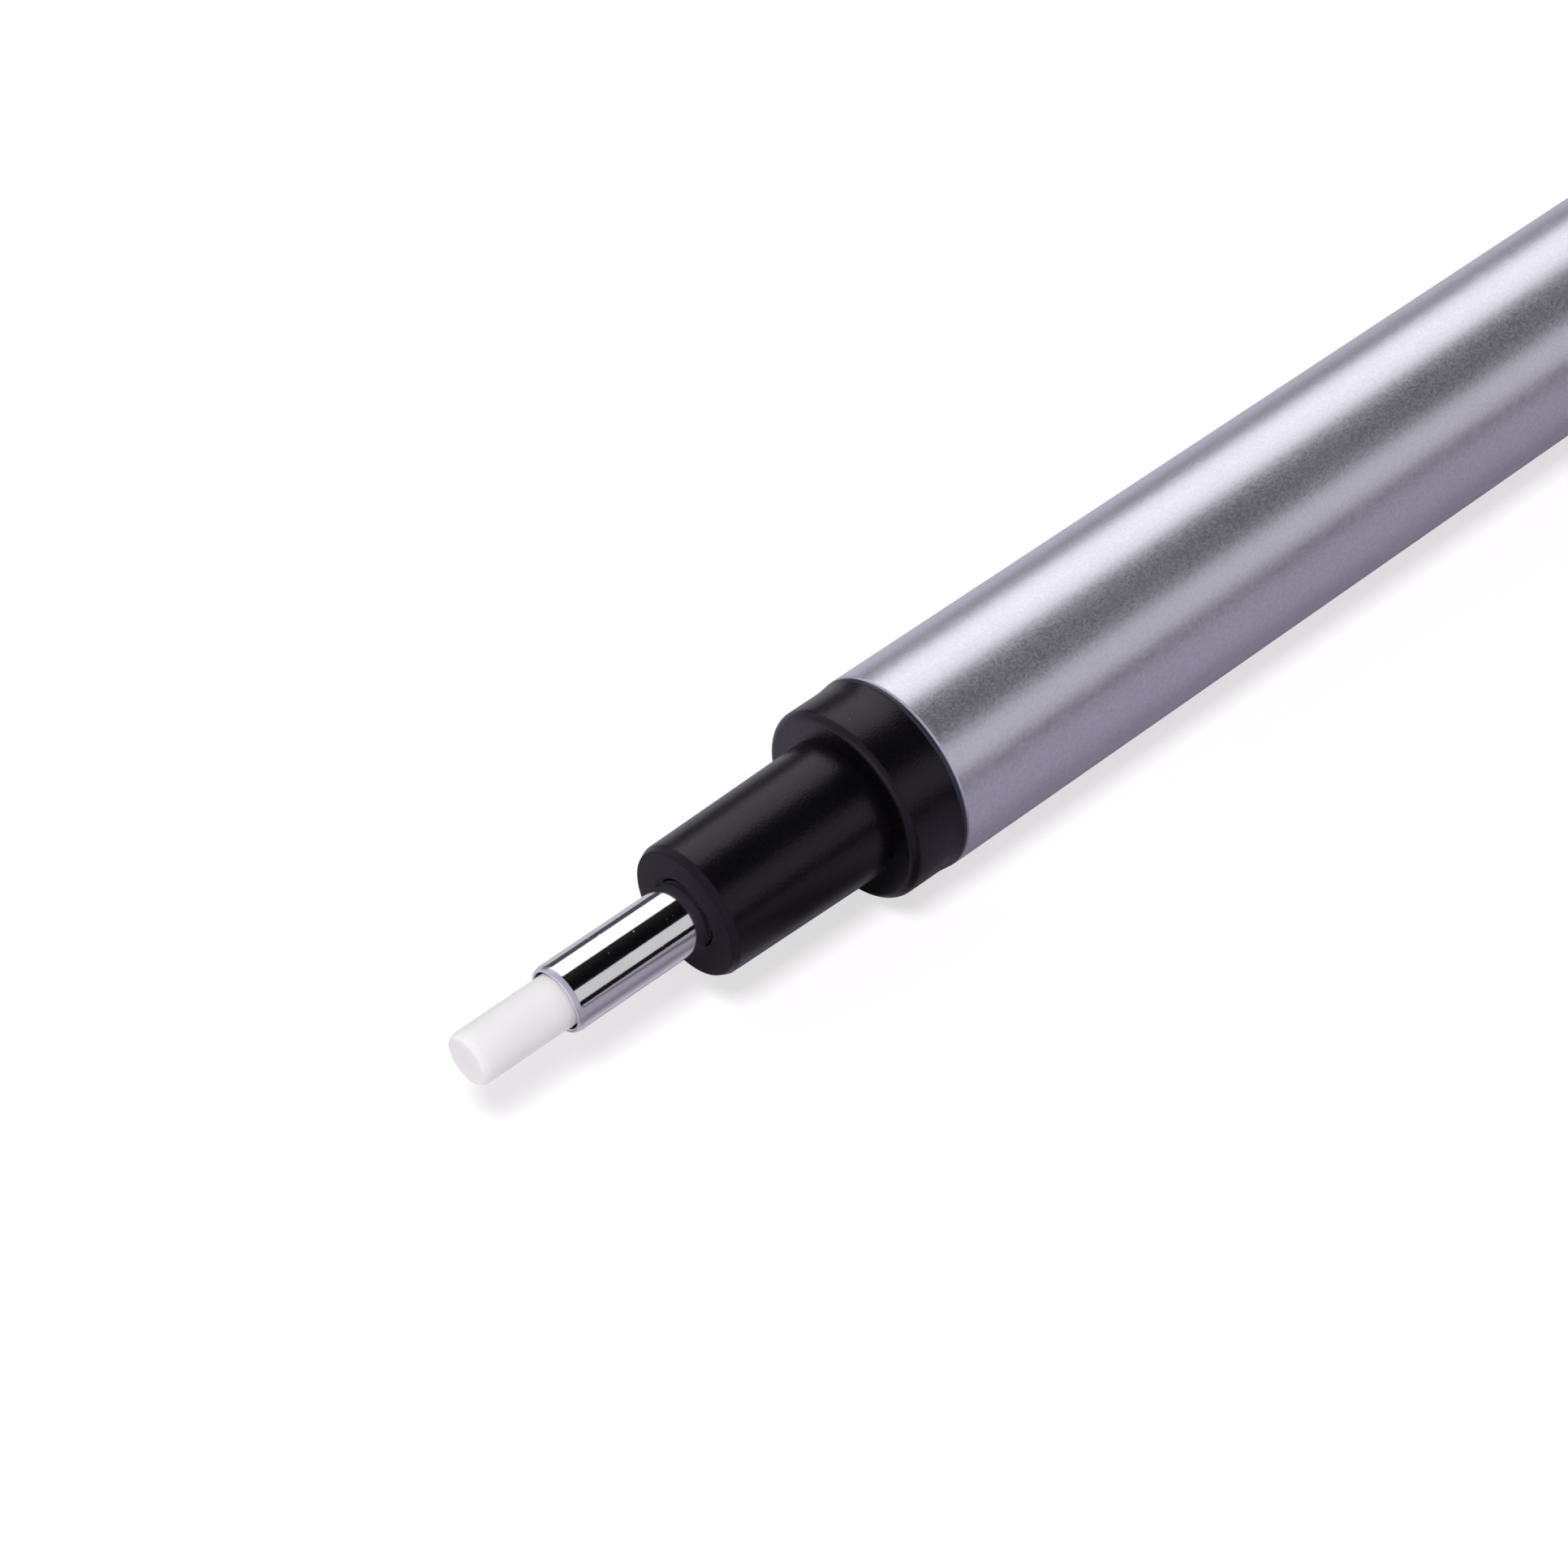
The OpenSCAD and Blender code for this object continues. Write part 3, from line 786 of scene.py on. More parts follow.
def cut_box(piece: Object, low: Place, high: Place) -> None:
    """Cuts a box out of a piece in the pen's own frame.

    Args:
        piece: the piece that is cut.
        low: the box's lowest corner in mm.
        high: the box's highest corner in mm.
    """
    middle = [(a + b) / 2 * MM for a, b in zip(low, high)]
    deselect()
    bpy.ops.mesh.primitive_cube_add(size=1, location=middle)
    block = bpy.context.active_object
    block.scale = [(b - a) * MM for a, b in zip(low, high)]
    bake_place()
    apply_modifier(piece, "BOOLEAN", operation="DIFFERENCE", solver="EXACT", object=block)
    bpy.data.objects.remove(block)


def show(piece: Object, body: str, slot: str, *nodes: str) -> None:
    """Settles, smooths and dresses a piece, lets it stand for its CAD nodes and ride on its body.

    Args:
        piece: the piece, in the pen's own frame and in object mode.
        body: CAD body that it moves with.
        slot: material slot that gives its finish.
        nodes: CAD nodes that it stands for.
    """
    PEN.settle(piece)
    bpy.ops.object.shade_smooth_by_angle(angle=math.radians(CREASE_DEG))
    apply_modifier(piece, "WEIGHTED_NORMAL", keep_sharp=True)
    piece.data.materials.clear()
    piece.data.materials.append(finish_of(slot))
    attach(piece, body)
    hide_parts(*nodes)
    LOG.info("%s stands for %s on %s", piece.name, ", ".join(nodes), body)


@cache
def finish_of(slot: str) -> Material:
    """Makes the finish of a slot once. The CAD's material keeps the slot's own name.

    Args:
        slot: the material slot.

    Returns:
        The finish's material.
    """
    material = FINISHES[slot].material()
    material.name = f"{slot}_finish"
    return material


@dataclass(frozen=True)
class Front:
    """Eraser core, guide sleeve, nose and front insert. Sizes in mm, places from the eraser's tip."""

    core_r: float = 1.15
    core_len: float = 85.0
    core_edge_len: float = 0.26
    core_edge_drop: float = 0.1
    core_chalk: Edge = (0.03, 2)
    core_sides: int = 96

    sleeve_x: float = 4.4
    sleeve_in: float = 1.26
    sleeve_out: float = 1.46
    sleeve_land: float = 1.49
    sleeve_lead: float = 0.6
    sleeve_flange_x: float = 15.93
    sleeve_flange_r: float = 1.86
    sleeve_end: float = 16.43
    sleeve_edge_len: float = 0.24
    sleeve_edge_drop: float = 0.07
    sleeve_lip: Edge = (0.05, 5)

    nose_x: float = 10.93
    nose_bore: float = 1.51
    mouth: float = 0.15
    mouth_edge: Edge = (0.03, 2)
    tube_front_r: float = 2.915
    tube_rear_r: float = 3.055
    tube_edge_len: float = 0.34
    tube_edge_drop: float = 0.16
    collar_x: float = 19.25
    collar_r: float = 4.28
    collar_edge: Edge = (0.38, 8)
    flare_x: float = 21.1
    flare_r: float = 4.34
    flare_steps: int = 4
    flange_x: float = 21.8
    cavity_r: float = 1.97
    stop_x: float = 23.6
    spigot_in: float = 2.62
    spigot_root: float = 2.97
    spigot_crest: float = 3.17
    spigot_end: float = 31.0
    thread_x: float = 23.0
    thread_pitch: float = 0.75
    thread_turns: int = 10

    insert_flange_r: float = 4.36
    insert_flange_edge: Edge = (0.15, 4)
    insert_r: float = 3.85
    insert_crest: float = 3.02
    insert_root: float = 3.40
    insert_x: float = 22.0
    insert_end: float = 33.0

    def thread(self, low: float, high: float) -> Iterator[Ring]:
        """Rings of the thread from front to rear, low at each pitch's ends and high in its middle.

        Args:
            low: radius at the ends of a pitch.
            high: radius in its middle.

        Yields:
            One ring after the other.
        """
        for i in range(self.thread_turns):
            yield Ring(self.thread_x + i * self.thread_pitch, low)
            yield Ring(self.thread_x + (i + 0.5) * self.thread_pitch, high)
        yield Ring(self.thread_x + self.thread_turns * self.thread_pitch, low)

    def core(self) -> None:
        """Models the eraser core with its worn front edge, and shows it."""
        rings = [
            *front_edge(0, self.core_r, self.core_edge_len, self.core_edge_drop),
            Ring(self.core_len, self.core_r, *self.core_chalk),
        ]
        piece = turn("vinyl_stick", rings, Ends.DISCS, self.core_sides)
        show(piece, "eraser", "eraser_vinyl", "eraser_core")

    def sleeve(self) -> None:
        """Models the guide sleeve with its broken rim, pressed land and rear flange, and shows it."""
        rings = [
            Ring(self.sleeve_x, self.sleeve_in, *self.sleeve_lip),
            *front_edge(self.sleeve_x, self.sleeve_out, self.sleeve_edge_len, self.sleeve_edge_drop),
            Ring(self.nose_x, self.sleeve_out),
            Ring(self.nose_x + self.sleeve_lead, self.sleeve_land),
            Ring(self.sleeve_flange_x, self.sleeve_land),
            Ring(self.sleeve_flange_x, self.sleeve_flange_r, *FINE),
            Ring(self.sleeve_end, self.sleeve_flange_r, *FINE),
            Ring(self.sleeve_end, self.sleeve_in),
        ]
        show(turn("guide_tube", rings, Ends.WALL), "barrel", "chrome_plate", "guide_sleeve")

    def nose(self) -> None:
        """Models the nose with its tube, flared collar, threaded spigot and stepped bore, and shows it."""
        flare = [
            Ring(
                self.flare_x + s * (self.flange_x - self.flare_x),
                self.collar_r + s * s * (self.flare_r - self.collar_r),
            )
            for s in (i / self.flare_steps for i in range(self.flare_steps + 1))
        ]
        rings = [
            Ring(self.sleeve_flange_x, self.nose_bore),
            Ring(self.nose_x + self.mouth, self.nose_bore),
            Ring(self.nose_x, self.nose_bore + self.mouth, *self.mouth_edge),
            *front_edge(self.nose_x, self.tube_front_r, self.tube_edge_len, self.tube_edge_drop),
            Ring(self.collar_x, self.tube_rear_r),
            Ring(self.collar_x, self.collar_r, *self.collar_edge),
            *flare,
            Ring(self.flange_x, self.spigot_root),
            *self.thread(self.spigot_root, self.spigot_crest),
            Ring(self.spigot_end, self.spigot_root, *PLAIN),
            Ring(self.spigot_end, self.spigot_in),
            Ring(self.stop_x, self.spigot_in),
            Ring(self.stop_x, self.cavity_r),
            Ring(self.sleeve_flange_x, self.cavity_r),
        ]
        show(turn("nose_shell", rings, Ends.WALL), "barrel", "black_moulding", "nose_cone")

    def insert(self) -> None:
        """Models the threaded bush in the barrel's mouth with its thin flange, and shows it."""
        inside = list(self.thread(self.insert_crest, self.insert_root))[::-1]
        rings = [
            Ring(self.flange_x, self.insert_crest),
            Ring(self.flange_x, self.insert_flange_r, *self.insert_flange_edge),
            Ring(self.insert_x, self.insert_flange_r),
            Ring(self.insert_x, self.insert_r),
            Ring(self.insert_end, self.insert_r, *PLAIN),
            Ring(self.insert_end, self.insert_crest),
            *inside,
        ]
        show(turn("mouth_bush", rings, Ends.WALL), "barrel", "dark_insert", "front_insert")

    def build(self) -> None:
        """Models and shows the front's pieces."""
        for make in (self.core, self.sleeve, self.nose, self.insert):
            make()


@dataclass(frozen=True)
class Slot:
    """Slot for the clip's tab, in mm."""

    x0: float = 106.7
    x1: float = 107.5
    width: float = 2.8
    low: float = 3.32
    margin: float = 0.4

    def cut(self, piece: Object) -> None:
        """Cuts the slot out of a piece that is still in the pen's own frame."""
        cut_box(piece, (self.x0, -self.width / 2, self.low), (self.x1, self.width / 2, 2 * PEN.barrel_r))


@dataclass(frozen=True)
class Body:
    """Barrel, tail bush and tail ring. Sizes in mm, places from the eraser's tip."""

    slot: Slot = Slot()
    barrel_x: float = 22.0
    barrel_end: float = 112.0
    barrel_in: float = 3.87
    rim: float = 0.12
    rim_round: Edge = (0.04, 2)
    sides: int = 160

    bush_x: float = 103.0
    bush_r: float = 3.85
    bush_in: float = 3.05
    neck_r: float = 3.55
    tail_end: float = 113.8

    ring_in: float = 3.57
    ring_edge: Edge = (0.3, 6)

    def barrel(self) -> None:
        """Models the barrel with chamfered rims and the slot for the clip's tab, and shows it."""
        outer = PEN.barrel_r
        rings = [
            Ring(self.barrel_x, self.barrel_in, *self.rim_round),
            Ring(self.barrel_x, outer - self.rim, *self.rim_round),
            Ring(self.barrel_x + self.rim, outer, *self.rim_round),
            Ring(self.slot.x0 - self.slot.margin, outer),
            Ring(self.slot.x1 + self.slot.margin, outer),
            Ring(self.barrel_end - self.rim, outer, *self.rim_round),
            Ring(self.barrel_end, outer - self.rim, *self.rim_round),
            Ring(self.barrel_end, self.barrel_in, *self.rim_round),
        ]
        piece = turn("barrel_tube", rings, Ends.WALL, self.sides)
        self.slot.cut(piece)
        show(piece, "barrel", "silver_lacquer", "barrel")

    def bush(self) -> None:
        """Models the button's bearing in the barrel's rear end, and shows it."""
        rings = [
            Ring(self.bush_x, self.bush_in, *PLAIN),
            Ring(self.bush_x, self.bush_r, *PLAIN),
            Ring(self.barrel_end, self.bush_r),
            Ring(self.barrel_end, self.neck_r),
            Ring(self.tail_end, self.neck_r, *FINE),
            Ring(self.tail_end, self.bush_in, *SMOOTH),
        ]
        piece = turn("button_bearing", rings, Ends.WALL)
        self.slot.cut(piece)
        show(piece, "barrel", "black_moulding", "tail_bush")

    def ring(self) -> None:
        """Models the plated ring on the bush's neck, and shows it."""
        outer = PEN.barrel_r
        rings = [
            Ring(self.barrel_end, self.ring_in),
            Ring(self.barrel_end, outer, *FINE),
            Ring(self.tail_end, outer, *self.ring_edge),
            Ring(self.tail_end, self.ring_in, *FINE),
        ]
        piece = turn("tail_band", rings, Ends.WALL, self.sides)
        show(piece, "barrel", "chrome_plate", "tail_ring")

    def build(self) -> None:
        """Models and shows the body's pieces."""
        for make in (self.barrel, self.bush, self.ring):
            make()


@dataclass(frozen=True)
class Rear:
    """Push button and the core tube behind it. Sizes in mm, places from the eraser's tip."""

    tube_x: float = 45.0
    tube_end: float = 115.0
    tube_r: float = 1.80
    tube_in: float = 1.40
    tube_sides: int = 96

    skirt_x: float = 107.0
    shank_r: float = 3.0
    bore_r: float = 1.82
    skirt_edge: Edge = (0.2, 3)
    head_edge: Edge = (0.2, 4)
    head_x: float = 117.2
    head_r: float = 3.3
    end_x: float = 124.6
    end_edge: Edge = (0.8, 10)
    end_wall: float = 3.0
    front_plain: float = 1.6
    groove_count: int = 4
    groove_pitch: float = 1.0
    groove_depth: float = 0.15
    grip_x: float = 110.0
    grip_half: float = 0.45
    grip_groove_r: float = 2.62
    step_gap: float = 0.1

    def tube(self) -> None:
        """Models the tube that holds the spare length of core, and shows it."""
        rings = [
            Ring(self.tube_x, self.tube_in, *FINE),
            Ring(self.tube_x, self.tube_r, *SMOOTH),
            Ring(self.tube_end, self.tube_r, *SMOOTH),
            Ring(self.tube_end, self.tube_in, *FINE),
        ]
        piece = turn("core_holder", rings, Ends.WALL, self.tube_sides)
        show(piece, "mechanism", "natural_plastic", "core_tube")

    def grooves(self) -> Iterator[Ring]:
        """Rings of the grip grooves, softened at their crests."""
        for i in range(self.groove_count):
            middle = self.head_x + self.front_plain + i * self.groove_pitch
            yield Ring(middle - self.groove_depth, self.head_r, *FINE)
            yield Ring(middle, self.head_r - self.groove_depth, *FINE)
            yield Ring(middle + self.groove_depth, self.head_r, *FINE)

    def button(self) -> None:
        """Models the button with its bore, skirt, grooved head and round end, and shows it."""
        rings = [
            Ring(self.end_x - self.end_wall, self.tube_in),
            Ring(self.tube_end + self.step_gap, self.tube_in),
            Ring(self.tube_end + self.step_gap, self.bore_r),
            Ring(self.grip_x + self.grip_half, self.bore_r),
            Ring(self.grip_x + self.grip_half, self.grip_groove_r),
            Ring(self.grip_x - self.grip_half, self.grip_groove_r),
            Ring(self.grip_x - self.grip_half, self.bore_r),
            Ring(self.skirt_x, self.bore_r, *FINE),
            Ring(self.skirt_x, self.shank_r, *self.skirt_edge),
            Ring(self.head_x, self.shank_r, *SMOOTH),
            Ring(self.head_x, self.head_r, *self.head_edge),
            *self.grooves(),
            Ring(self.end_x, self.head_r, *self.end_edge),
        ]
        show(turn("thumb_button", rings, Ends.DISCS), "button", "button_moulding", "push_button")

    def build(self) -> None:
        """Models and shows the rear's pieces."""
        for make in (self.tube, self.button):
            make()


@dataclass(frozen=True)
class Clip:
    """Stamped pocket clip. Sizes in mm, places from the eraser's tip; its outer face is flat."""

    free_x: float = 73.4
    rear_x: float = 107.4
    width: float = 3.6
    sheet: float = 0.6
    bend_r: float = 1.5
    bend_steps: int = 12
    corner_r: float = 1.2
    corner_steps: int = 8
    tab_width: float = 2.6
    tab_low: float = 3.42
    shoulder: float = 0.25
    pad_len: float = 4.8
    dimple_sides: int = 48
    dimple: tuple[tuple[float, float], ...] = (
        (1.10, 0.0), (0.92, -0.03), (0.80, -0.12), (0.71, -0.28), (0.64, -0.50),
        (0.52, -0.76), (0.36, -0.94), (0.18, -1.03), (0.05, -1.05),
    )
    edge: Edge = SMOOTH
    edge_bend_deg: float = 50
    hair: float = 0.001

    @property
    def pad_middle(self) -> Place:
        """Middle of the free end's outer face, in metres."""
        return ((self.free_x + self.pad_len / 2) * MM, 0, PEN.clip_top * MM)

    def pad(self) -> Object:
        """Starts the clip with the outline of its free end, its two front corners rounded.

        Returns:
            The piece, in edit mode, with the outline's edges and no face.
        """
        piece = plane("clip_strip", self.pad_middle, self.pad_len * MM, self.width * MM)
        bpy.ops.object.mode_set(mode="EDIT")
        Edges(piece).choose(lambda p: p.x < self.free_x + self.hair)
        bpy.ops.mesh.bevel(
            offset=self.corner_r * MM, segments=self.corner_steps, affect="VERTICES", offset_type="OFFSET"
        )
        bpy.ops.mesh.select_all(action="SELECT")
        bpy.ops.mesh.delete(type="ONLY_FACE")
        return piece

    def press_dimple(self) -> None:
        """Presses the dimple that makes the ball under the clip, and joins it to the outline."""
        radius = self.dimple[0][0] * MM
        bpy.ops.mesh.select_all(action="DESELECT")
        middle = self.pad_middle
        bpy.ops.mesh.primitive_circle_add(vertices=self.dimple_sides, radius=radius, location=middle)
        for (r0, z0), (r1, z1) in zip(self.dimple, self.dimple[1:]):
            extrude(0, z1 - z0)
            bpy.ops.transform.resize(value=(r1 / r0, r1 / r0, 1), center_override=middle)
        bpy.ops.mesh.edge_face_add()
        bpy.ops.mesh.select_mode(type="EDGE")
        bpy.ops.mesh.select_all(action="DESELECT")
        bpy.ops.mesh.select_non_manifold(use_multi_face=False, use_non_contiguous=False, use_verts=False)
        bpy.ops.mesh.fill(use_beauty=True)

    def run_back(self, piece: Object) -> None:
        """Extrudes the arm, spins its bend and draws the tab down into the barrel.

        Args:
            piece: the piece in edit mode, with its pad.
        """
        pad_end = self.free_x + self.pad_len
        bend_x = self.rear_x - self.bend_r
        bend_z = PEN.clip_top - self.bend_r
        Edges(piece).choose(lambda p: p.x > pad_end - self.hair)
        extrude(bend_x - pad_end)
        bpy.ops.mesh.spin(
            steps=self.bend_steps, angle=-math.pi / 2, center=(bend_x * MM, 0, bend_z * MM), axis=(0, 1, 0)
        )
        narrow = self.tab_width / self.width
        extrude(0, -self.shoulder)
        bpy.ops.transform.resize(value=(1, narrow, 1), center_override=(self.rear_x * MM, 0, 0))
        extrude(0, self.tab_low + self.shoulder - bend_z)

    def thicken(self, piece: Object) -> None:
        """Gives the sheet its thickness and rounds its stamped edges.

        Args:
            piece: the piece in edit mode.
        """
        bpy.ops.mesh.select_all(action="SELECT")
        bpy.ops.mesh.remove_doubles(threshold=self.hair * MM)
        face_outward()
        bpy.ops.object.mode_set(mode="OBJECT")
        up = sum(face.normal.z * face.area for face in piece.data.polygons)
        inward = -1 if up > 0 else 1
        apply_modifier(piece, "SOLIDIFY", thickness=self.sheet * MM, offset=inward, use_even_offset=True)
        size, facets = self.edge
        apply_modifier(
            piece, "BEVEL", width=size * MM, segments=facets,
            limit_method="ANGLE", angle_limit=math.radians(self.edge_bend_deg),
        )

    def build(self) -> None:
        """Models and shows the clip."""
        piece = self.pad()
        self.press_dimple()
        self.run_back(piece)
        self.thicken(piece)
        show(piece, "clip", "clip_steel", "pocket_clip")


@dataclass(frozen=True)
class Spring:
    """Return spring: a closed turn at each end and open turns between. Sizes in mm."""

    wire_d: float = 0.36
    mean_r: float = 1.895
    front_x: float = 27.87
    rear_x: float = 39.68
    open_turns: int = 9
    closed_pitch: float = 0.414
    wire_sides: int = 12
    turn_steps: int = 24
    travel: float = 3.0

    def pitch_at(self, turns: float) -> float:
        """Pitch of the coil, in mm for each turn.

        Args:
            turns: number of turns from the front.

        Returns:
            The pitch there.
        """
        if turns < 1 or turns >= 1 + self.open_turns:
            return self.closed_pitch
        room = self.rear_x - self.front_x - self.wire_d - 2 * self.closed_pitch
        return room / self.open_turns

    def build(self) -> None:
        """Models the coil by extruding and turning the wire's section step by step, and shows it."""
        deselect()
        wire_r = self.wire_d / 2
        start = ((self.front_x + wire_r) * MM, 0, self.mean_r * MM)
        bpy.ops.mesh.primitive_circle_add(
            vertices=self.wire_sides, radius=wire_r * MM, location=start, rotation=(math.pi / 2, 0, 0)
        )
        piece = named("spring_coil")
        bake_place()
        bpy.ops.object.mode_set(mode="EDIT")
        bpy.ops.mesh.select_all(action="SELECT")
        bpy.ops.mesh.edge_face_add()
        for step in range((self.open_turns + 2) * self.turn_steps):
            extrude(self.pitch_at(step / self.turn_steps) / self.turn_steps)
            bpy.ops.transform.rotate(
                value=2 * math.pi / self.turn_steps, orient_axis="X", center_override=(0, 0, 0)
            )
        face_outward()
        bpy.ops.object.mode_set(mode="OBJECT")
        show(piece, "barrel", "spring_steel", "return_spring")
        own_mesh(piece)


@dataclass(frozen=True)
class Inside:
    """CAD nodes that keep their shape and only take a finish."""

    nodes: tuple[tuple[str, str], ...] = (
        ("friction_ring", "soft_rubber"),
        ("friction_retainer", "natural_plastic"),
        ("chuck", "brass"),
        ("clutch_ring", "brass"),
        ("clutch_sleeve", "grey_plastic"),
        ("spring_washer", "spring_steel"),
        ("chuck_joint", "grey_plastic"),
        ("button_grip", "soft_rubber"),
    )

    def build(self) -> None:
        """Dresses the nodes."""
        for node, slot in self.nodes:
            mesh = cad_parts[node].data
            mesh.materials.clear()
            mesh.materials.append(finish_of(slot))
            LOG.info("%s takes %s", node, slot)


@dataclass(frozen=True)
class Panel:
    """A long flat panel beside the pen, in metres, seen from the axis between two angles."""

    name: str
    low_deg: float
    high_deg: float
    distance: float = 0.45
    colour: Colour = (1.0, 1.0, 1.0)
    front: float = -0.9
    rear: float = 0.9

    @property
    def length(self) -> float:
        """Length from front to rear, in metres."""
        return self.rear - self.front

    @property
    def turn(self) -> float:
        """Turn about X that faces the panel to the pen, in radians."""
        return math.radians((self.low_deg + self.high_deg) / 2) - math.pi / 2

    @property
    def width(self) -> float:
        """Width that fills the angle, in metres."""
        return 2 * self.distance * math.tan(math.radians(self.high_deg - self.low_deg) / 2)

    @property
    def middle(self) -> Vector:
        """Place of the panel's middle, in metres."""
        angle = self.turn + math.pi / 2
        out = self.distance * Vector((0, math.cos(angle), math.sin(angle)))
        return PEN.axis_point(PEN.length / 2) + out + Vector(((self.front + self.rear) / 2, 0, 0))


@dataclass(frozen=True)
class Overhead:
    """Soft lamp above the table, in metres. It casts the shadow, and mirrors don't show it."""

    toward: Place = (-0.40, -0.20, 0.90)
    distance: float = 0.6
    width: float = 0.19
    watts: float = 2.98
    colour: Colour = (1.0, 0.985, 0.995)

    def build(self) -> None:
        """Hangs the lamp, turned to the middle of the pen."""
        toward = Vector(self.toward).normalized()
        place = PEN.axis_point(PEN.length / 2) + self.distance * toward
        turned = toward.to_track_quat("Z", "Y").to_euler()
        bpy.ops.object.light_add(type="AREA", location=place, rotation=turned)
        lamp = named("overhead_box")
        lamp.data.shape = "DISK"
        lamp.data.size = self.width
        lamp.data.energy = self.watts
        lamp.data.color = self.colour
        lamp.visible_glossy = lamp.visible_camera = False


@dataclass(frozen=True)
class Studio:
    """Pale table, soft boxes, cards and sheets that only mirrors see, and the pale room."""

    key: Panel = Panel("key_box", 1.8, 92.5, front=-0.04)
    fill: Panel = Panel("fill_box", 130, 166.5, colour=(0.97, 0.965, 1.0), front=-0.04)
    wash: Panel = Panel("wash_box", 15, 75, 0.44)
    cards: tuple[Panel, ...] = (
        Panel("back_card", -8, 48, 0.50, DIM),
        Panel("upper_card", 47, 93, 0.50, DARK),
        Panel("overhead_card", 92, 138, 0.50, DARK),
        Panel("front_card", 137, 183, 0.50, DARK),
    )
    key_watts: float = 3.45
    fill_watts: float = 0.58
    wash_watts: float = 0.83

    # Sheets and cards: places and drops in mm, their edge behind the pen in metres
    sheet_near: Colour = (0.355, 0.33, 0.405)
    sheet_far: Colour = (0.58, 0.565, 0.65)
    sheet_back: float = 0.11
    sheet_drop: float = 0.05
    # Painted shade on the sheets and cards that mirrors see: darker towards the pen's axis and beside its
    # sleeve and nose, by the shares below
    near_pen: float = 4.4
    off_pen: float = 11.0
    painted_shade_near_share: float = 0.5
    painted_shade_nose_share: float = 0.35
    sleeve_places: Span = (-49.0, -45.0)
    nose_places: Span = (-44.0, -38.0)
    end_tint: Colour = (0.50, 0.46, 0.60)
    end_places: Span = (-75.0, -45.0)

    # Table: its size in metres, its drop in mm
    table_size: float = 6.0
    table_drop: float = 0.1
    table_colour: Colour = (0.365, 0.357, 0.368)
    table_mottle: float = 0.985
    table_grain: Grain = Grain(40.0, 2)
    table_glow: Colour = (1.0, 0.985, 0.995)
    table_lift: float = 0.685
    table_bounce: Colour = (0.93, 0.92, 0.93)
    table_wash: float = 0.088

    room_level: float = 0.14
    room_colour: Colour = (0.985, 0.98, 1.0)

    def box(self, panel: Panel, watts: float, shine: bool) -> None:
        """Hangs one soft box.

        Args:
            panel: its size, place and colour.
            watts: its power.
            shine: whether it gives the shine, or else lights matt surfaces.
        """
        bpy.ops.object.light_add(type="AREA", location=panel.middle, rotation=(panel.turn, 0, 0))
        lamp = named(panel.name)
        lamp.data.shape = "RECTANGLE"
        lamp.data.size = panel.length
        lamp.data.size_y = panel.width
        lamp.data.energy = watts
        lamp.data.color = panel.colour
        lamp.visible_diffuse = not shine
        lamp.visible_glossy = shine

    def only_in_mirrors(self, card: Object, near: Colour, far: Colour) -> Graph:
        """Colours a card and lets only mirroring surfaces see it.

        Args:
            card: the card.
            near: its matt colour on the camera's side, with painted shade that darkens it near the pen and
                beside its nose.
            far: its matt colour beyond the pen.

        Returns:
            The nodes of its material.
        """
        card.visible_camera = card.visible_diffuse = card.visible_shadow = card.visible_transmission = False
        graph = Graph(card.name)
        # Painted shade: darker towards the pen's axis, as if the pen shaded the sheet
        away = graph.off_axis().ramp_mm(self.near_pen, self.off_pen)
        along = graph.along()
        # Painted shade: darker beside the sleeve and nose, so that their reflections of the sheet look
        # shaded
        painted_shade_beside_nose = along.ramp_mm(*self.sleeve_places) * (1 - along.ramp_mm(*self.nose_places))
        shade = (self.painted_shade_near_share + (1 - self.painted_shade_near_share) * away) * (1 - (1 - self.painted_shade_nose_share) * painted_shade_beside_nose)
        shaded = graph.mix(shade, (0, 0, 0), near)
        beyond = graph.across().ramp_mm(-PEN.barrel_r, 0)
        graph.set(Base_Color=graph.mix(beyond, shaded, far), Roughness=1.0, Specular_IOR_Level=0.0)
        card.data.materials.append(graph.material)
        return graph

    def card(self, panel: Panel) -> None:
        """Hangs one card beside the pen. Its end ahead of the boxes is tinted and bright.

        Args:
            panel: its size, place and colour.
        """
        card = plane(panel.name, panel.middle, panel.length, panel.width, panel.turn)
        graph = self.only_in_mirrors(card, panel.colour, panel.colour)
        ahead = 1 - graph.along().ramp_mm(*self.end_places)
        graph.set(Emission_Color=self.end_tint, Emission_Strength=ahead)

    def sheet(self) -> None:
        """Lays the tinted sheet under the pen, and a dim one behind it."""
        for name, side, near, far in (
            ("tinted_sheet", -1, self.sheet_near, self.sheet_far),
            ("dim_sheet", 1, DIM, DIM),
        ):
            middle = (0, self.sheet_back + side * self.table_size / 2, -self.sheet_drop * MM)
            self.only_in_mirrors(plane(name, middle, self.table_size, self.table_size), near, far)

    def mirror_rays(self, tree: NodeTree) -> NodeSocket:
        """Adds nodes that give 1 for rays from the camera, mirrors and glass, and 0 for others.

        Args:
            tree: the material's or the world's nodes.

        Returns:
            The output that gives it.
        """
        path = tree.nodes.new("ShaderNodeLightPath")
        total = path.outputs["Is Camera Ray"]
        for name in ("Is Glossy Ray", "Is Transmission Ray"):
            adder = tree.nodes.new("ShaderNodeMath")
            adder.operation = "MAXIMUM"
            tree.links.new(total, adder.inputs[0])
            tree.links.new(path.outputs[name], adder.inputs[1])
            total = adder.outputs[0]
        return total

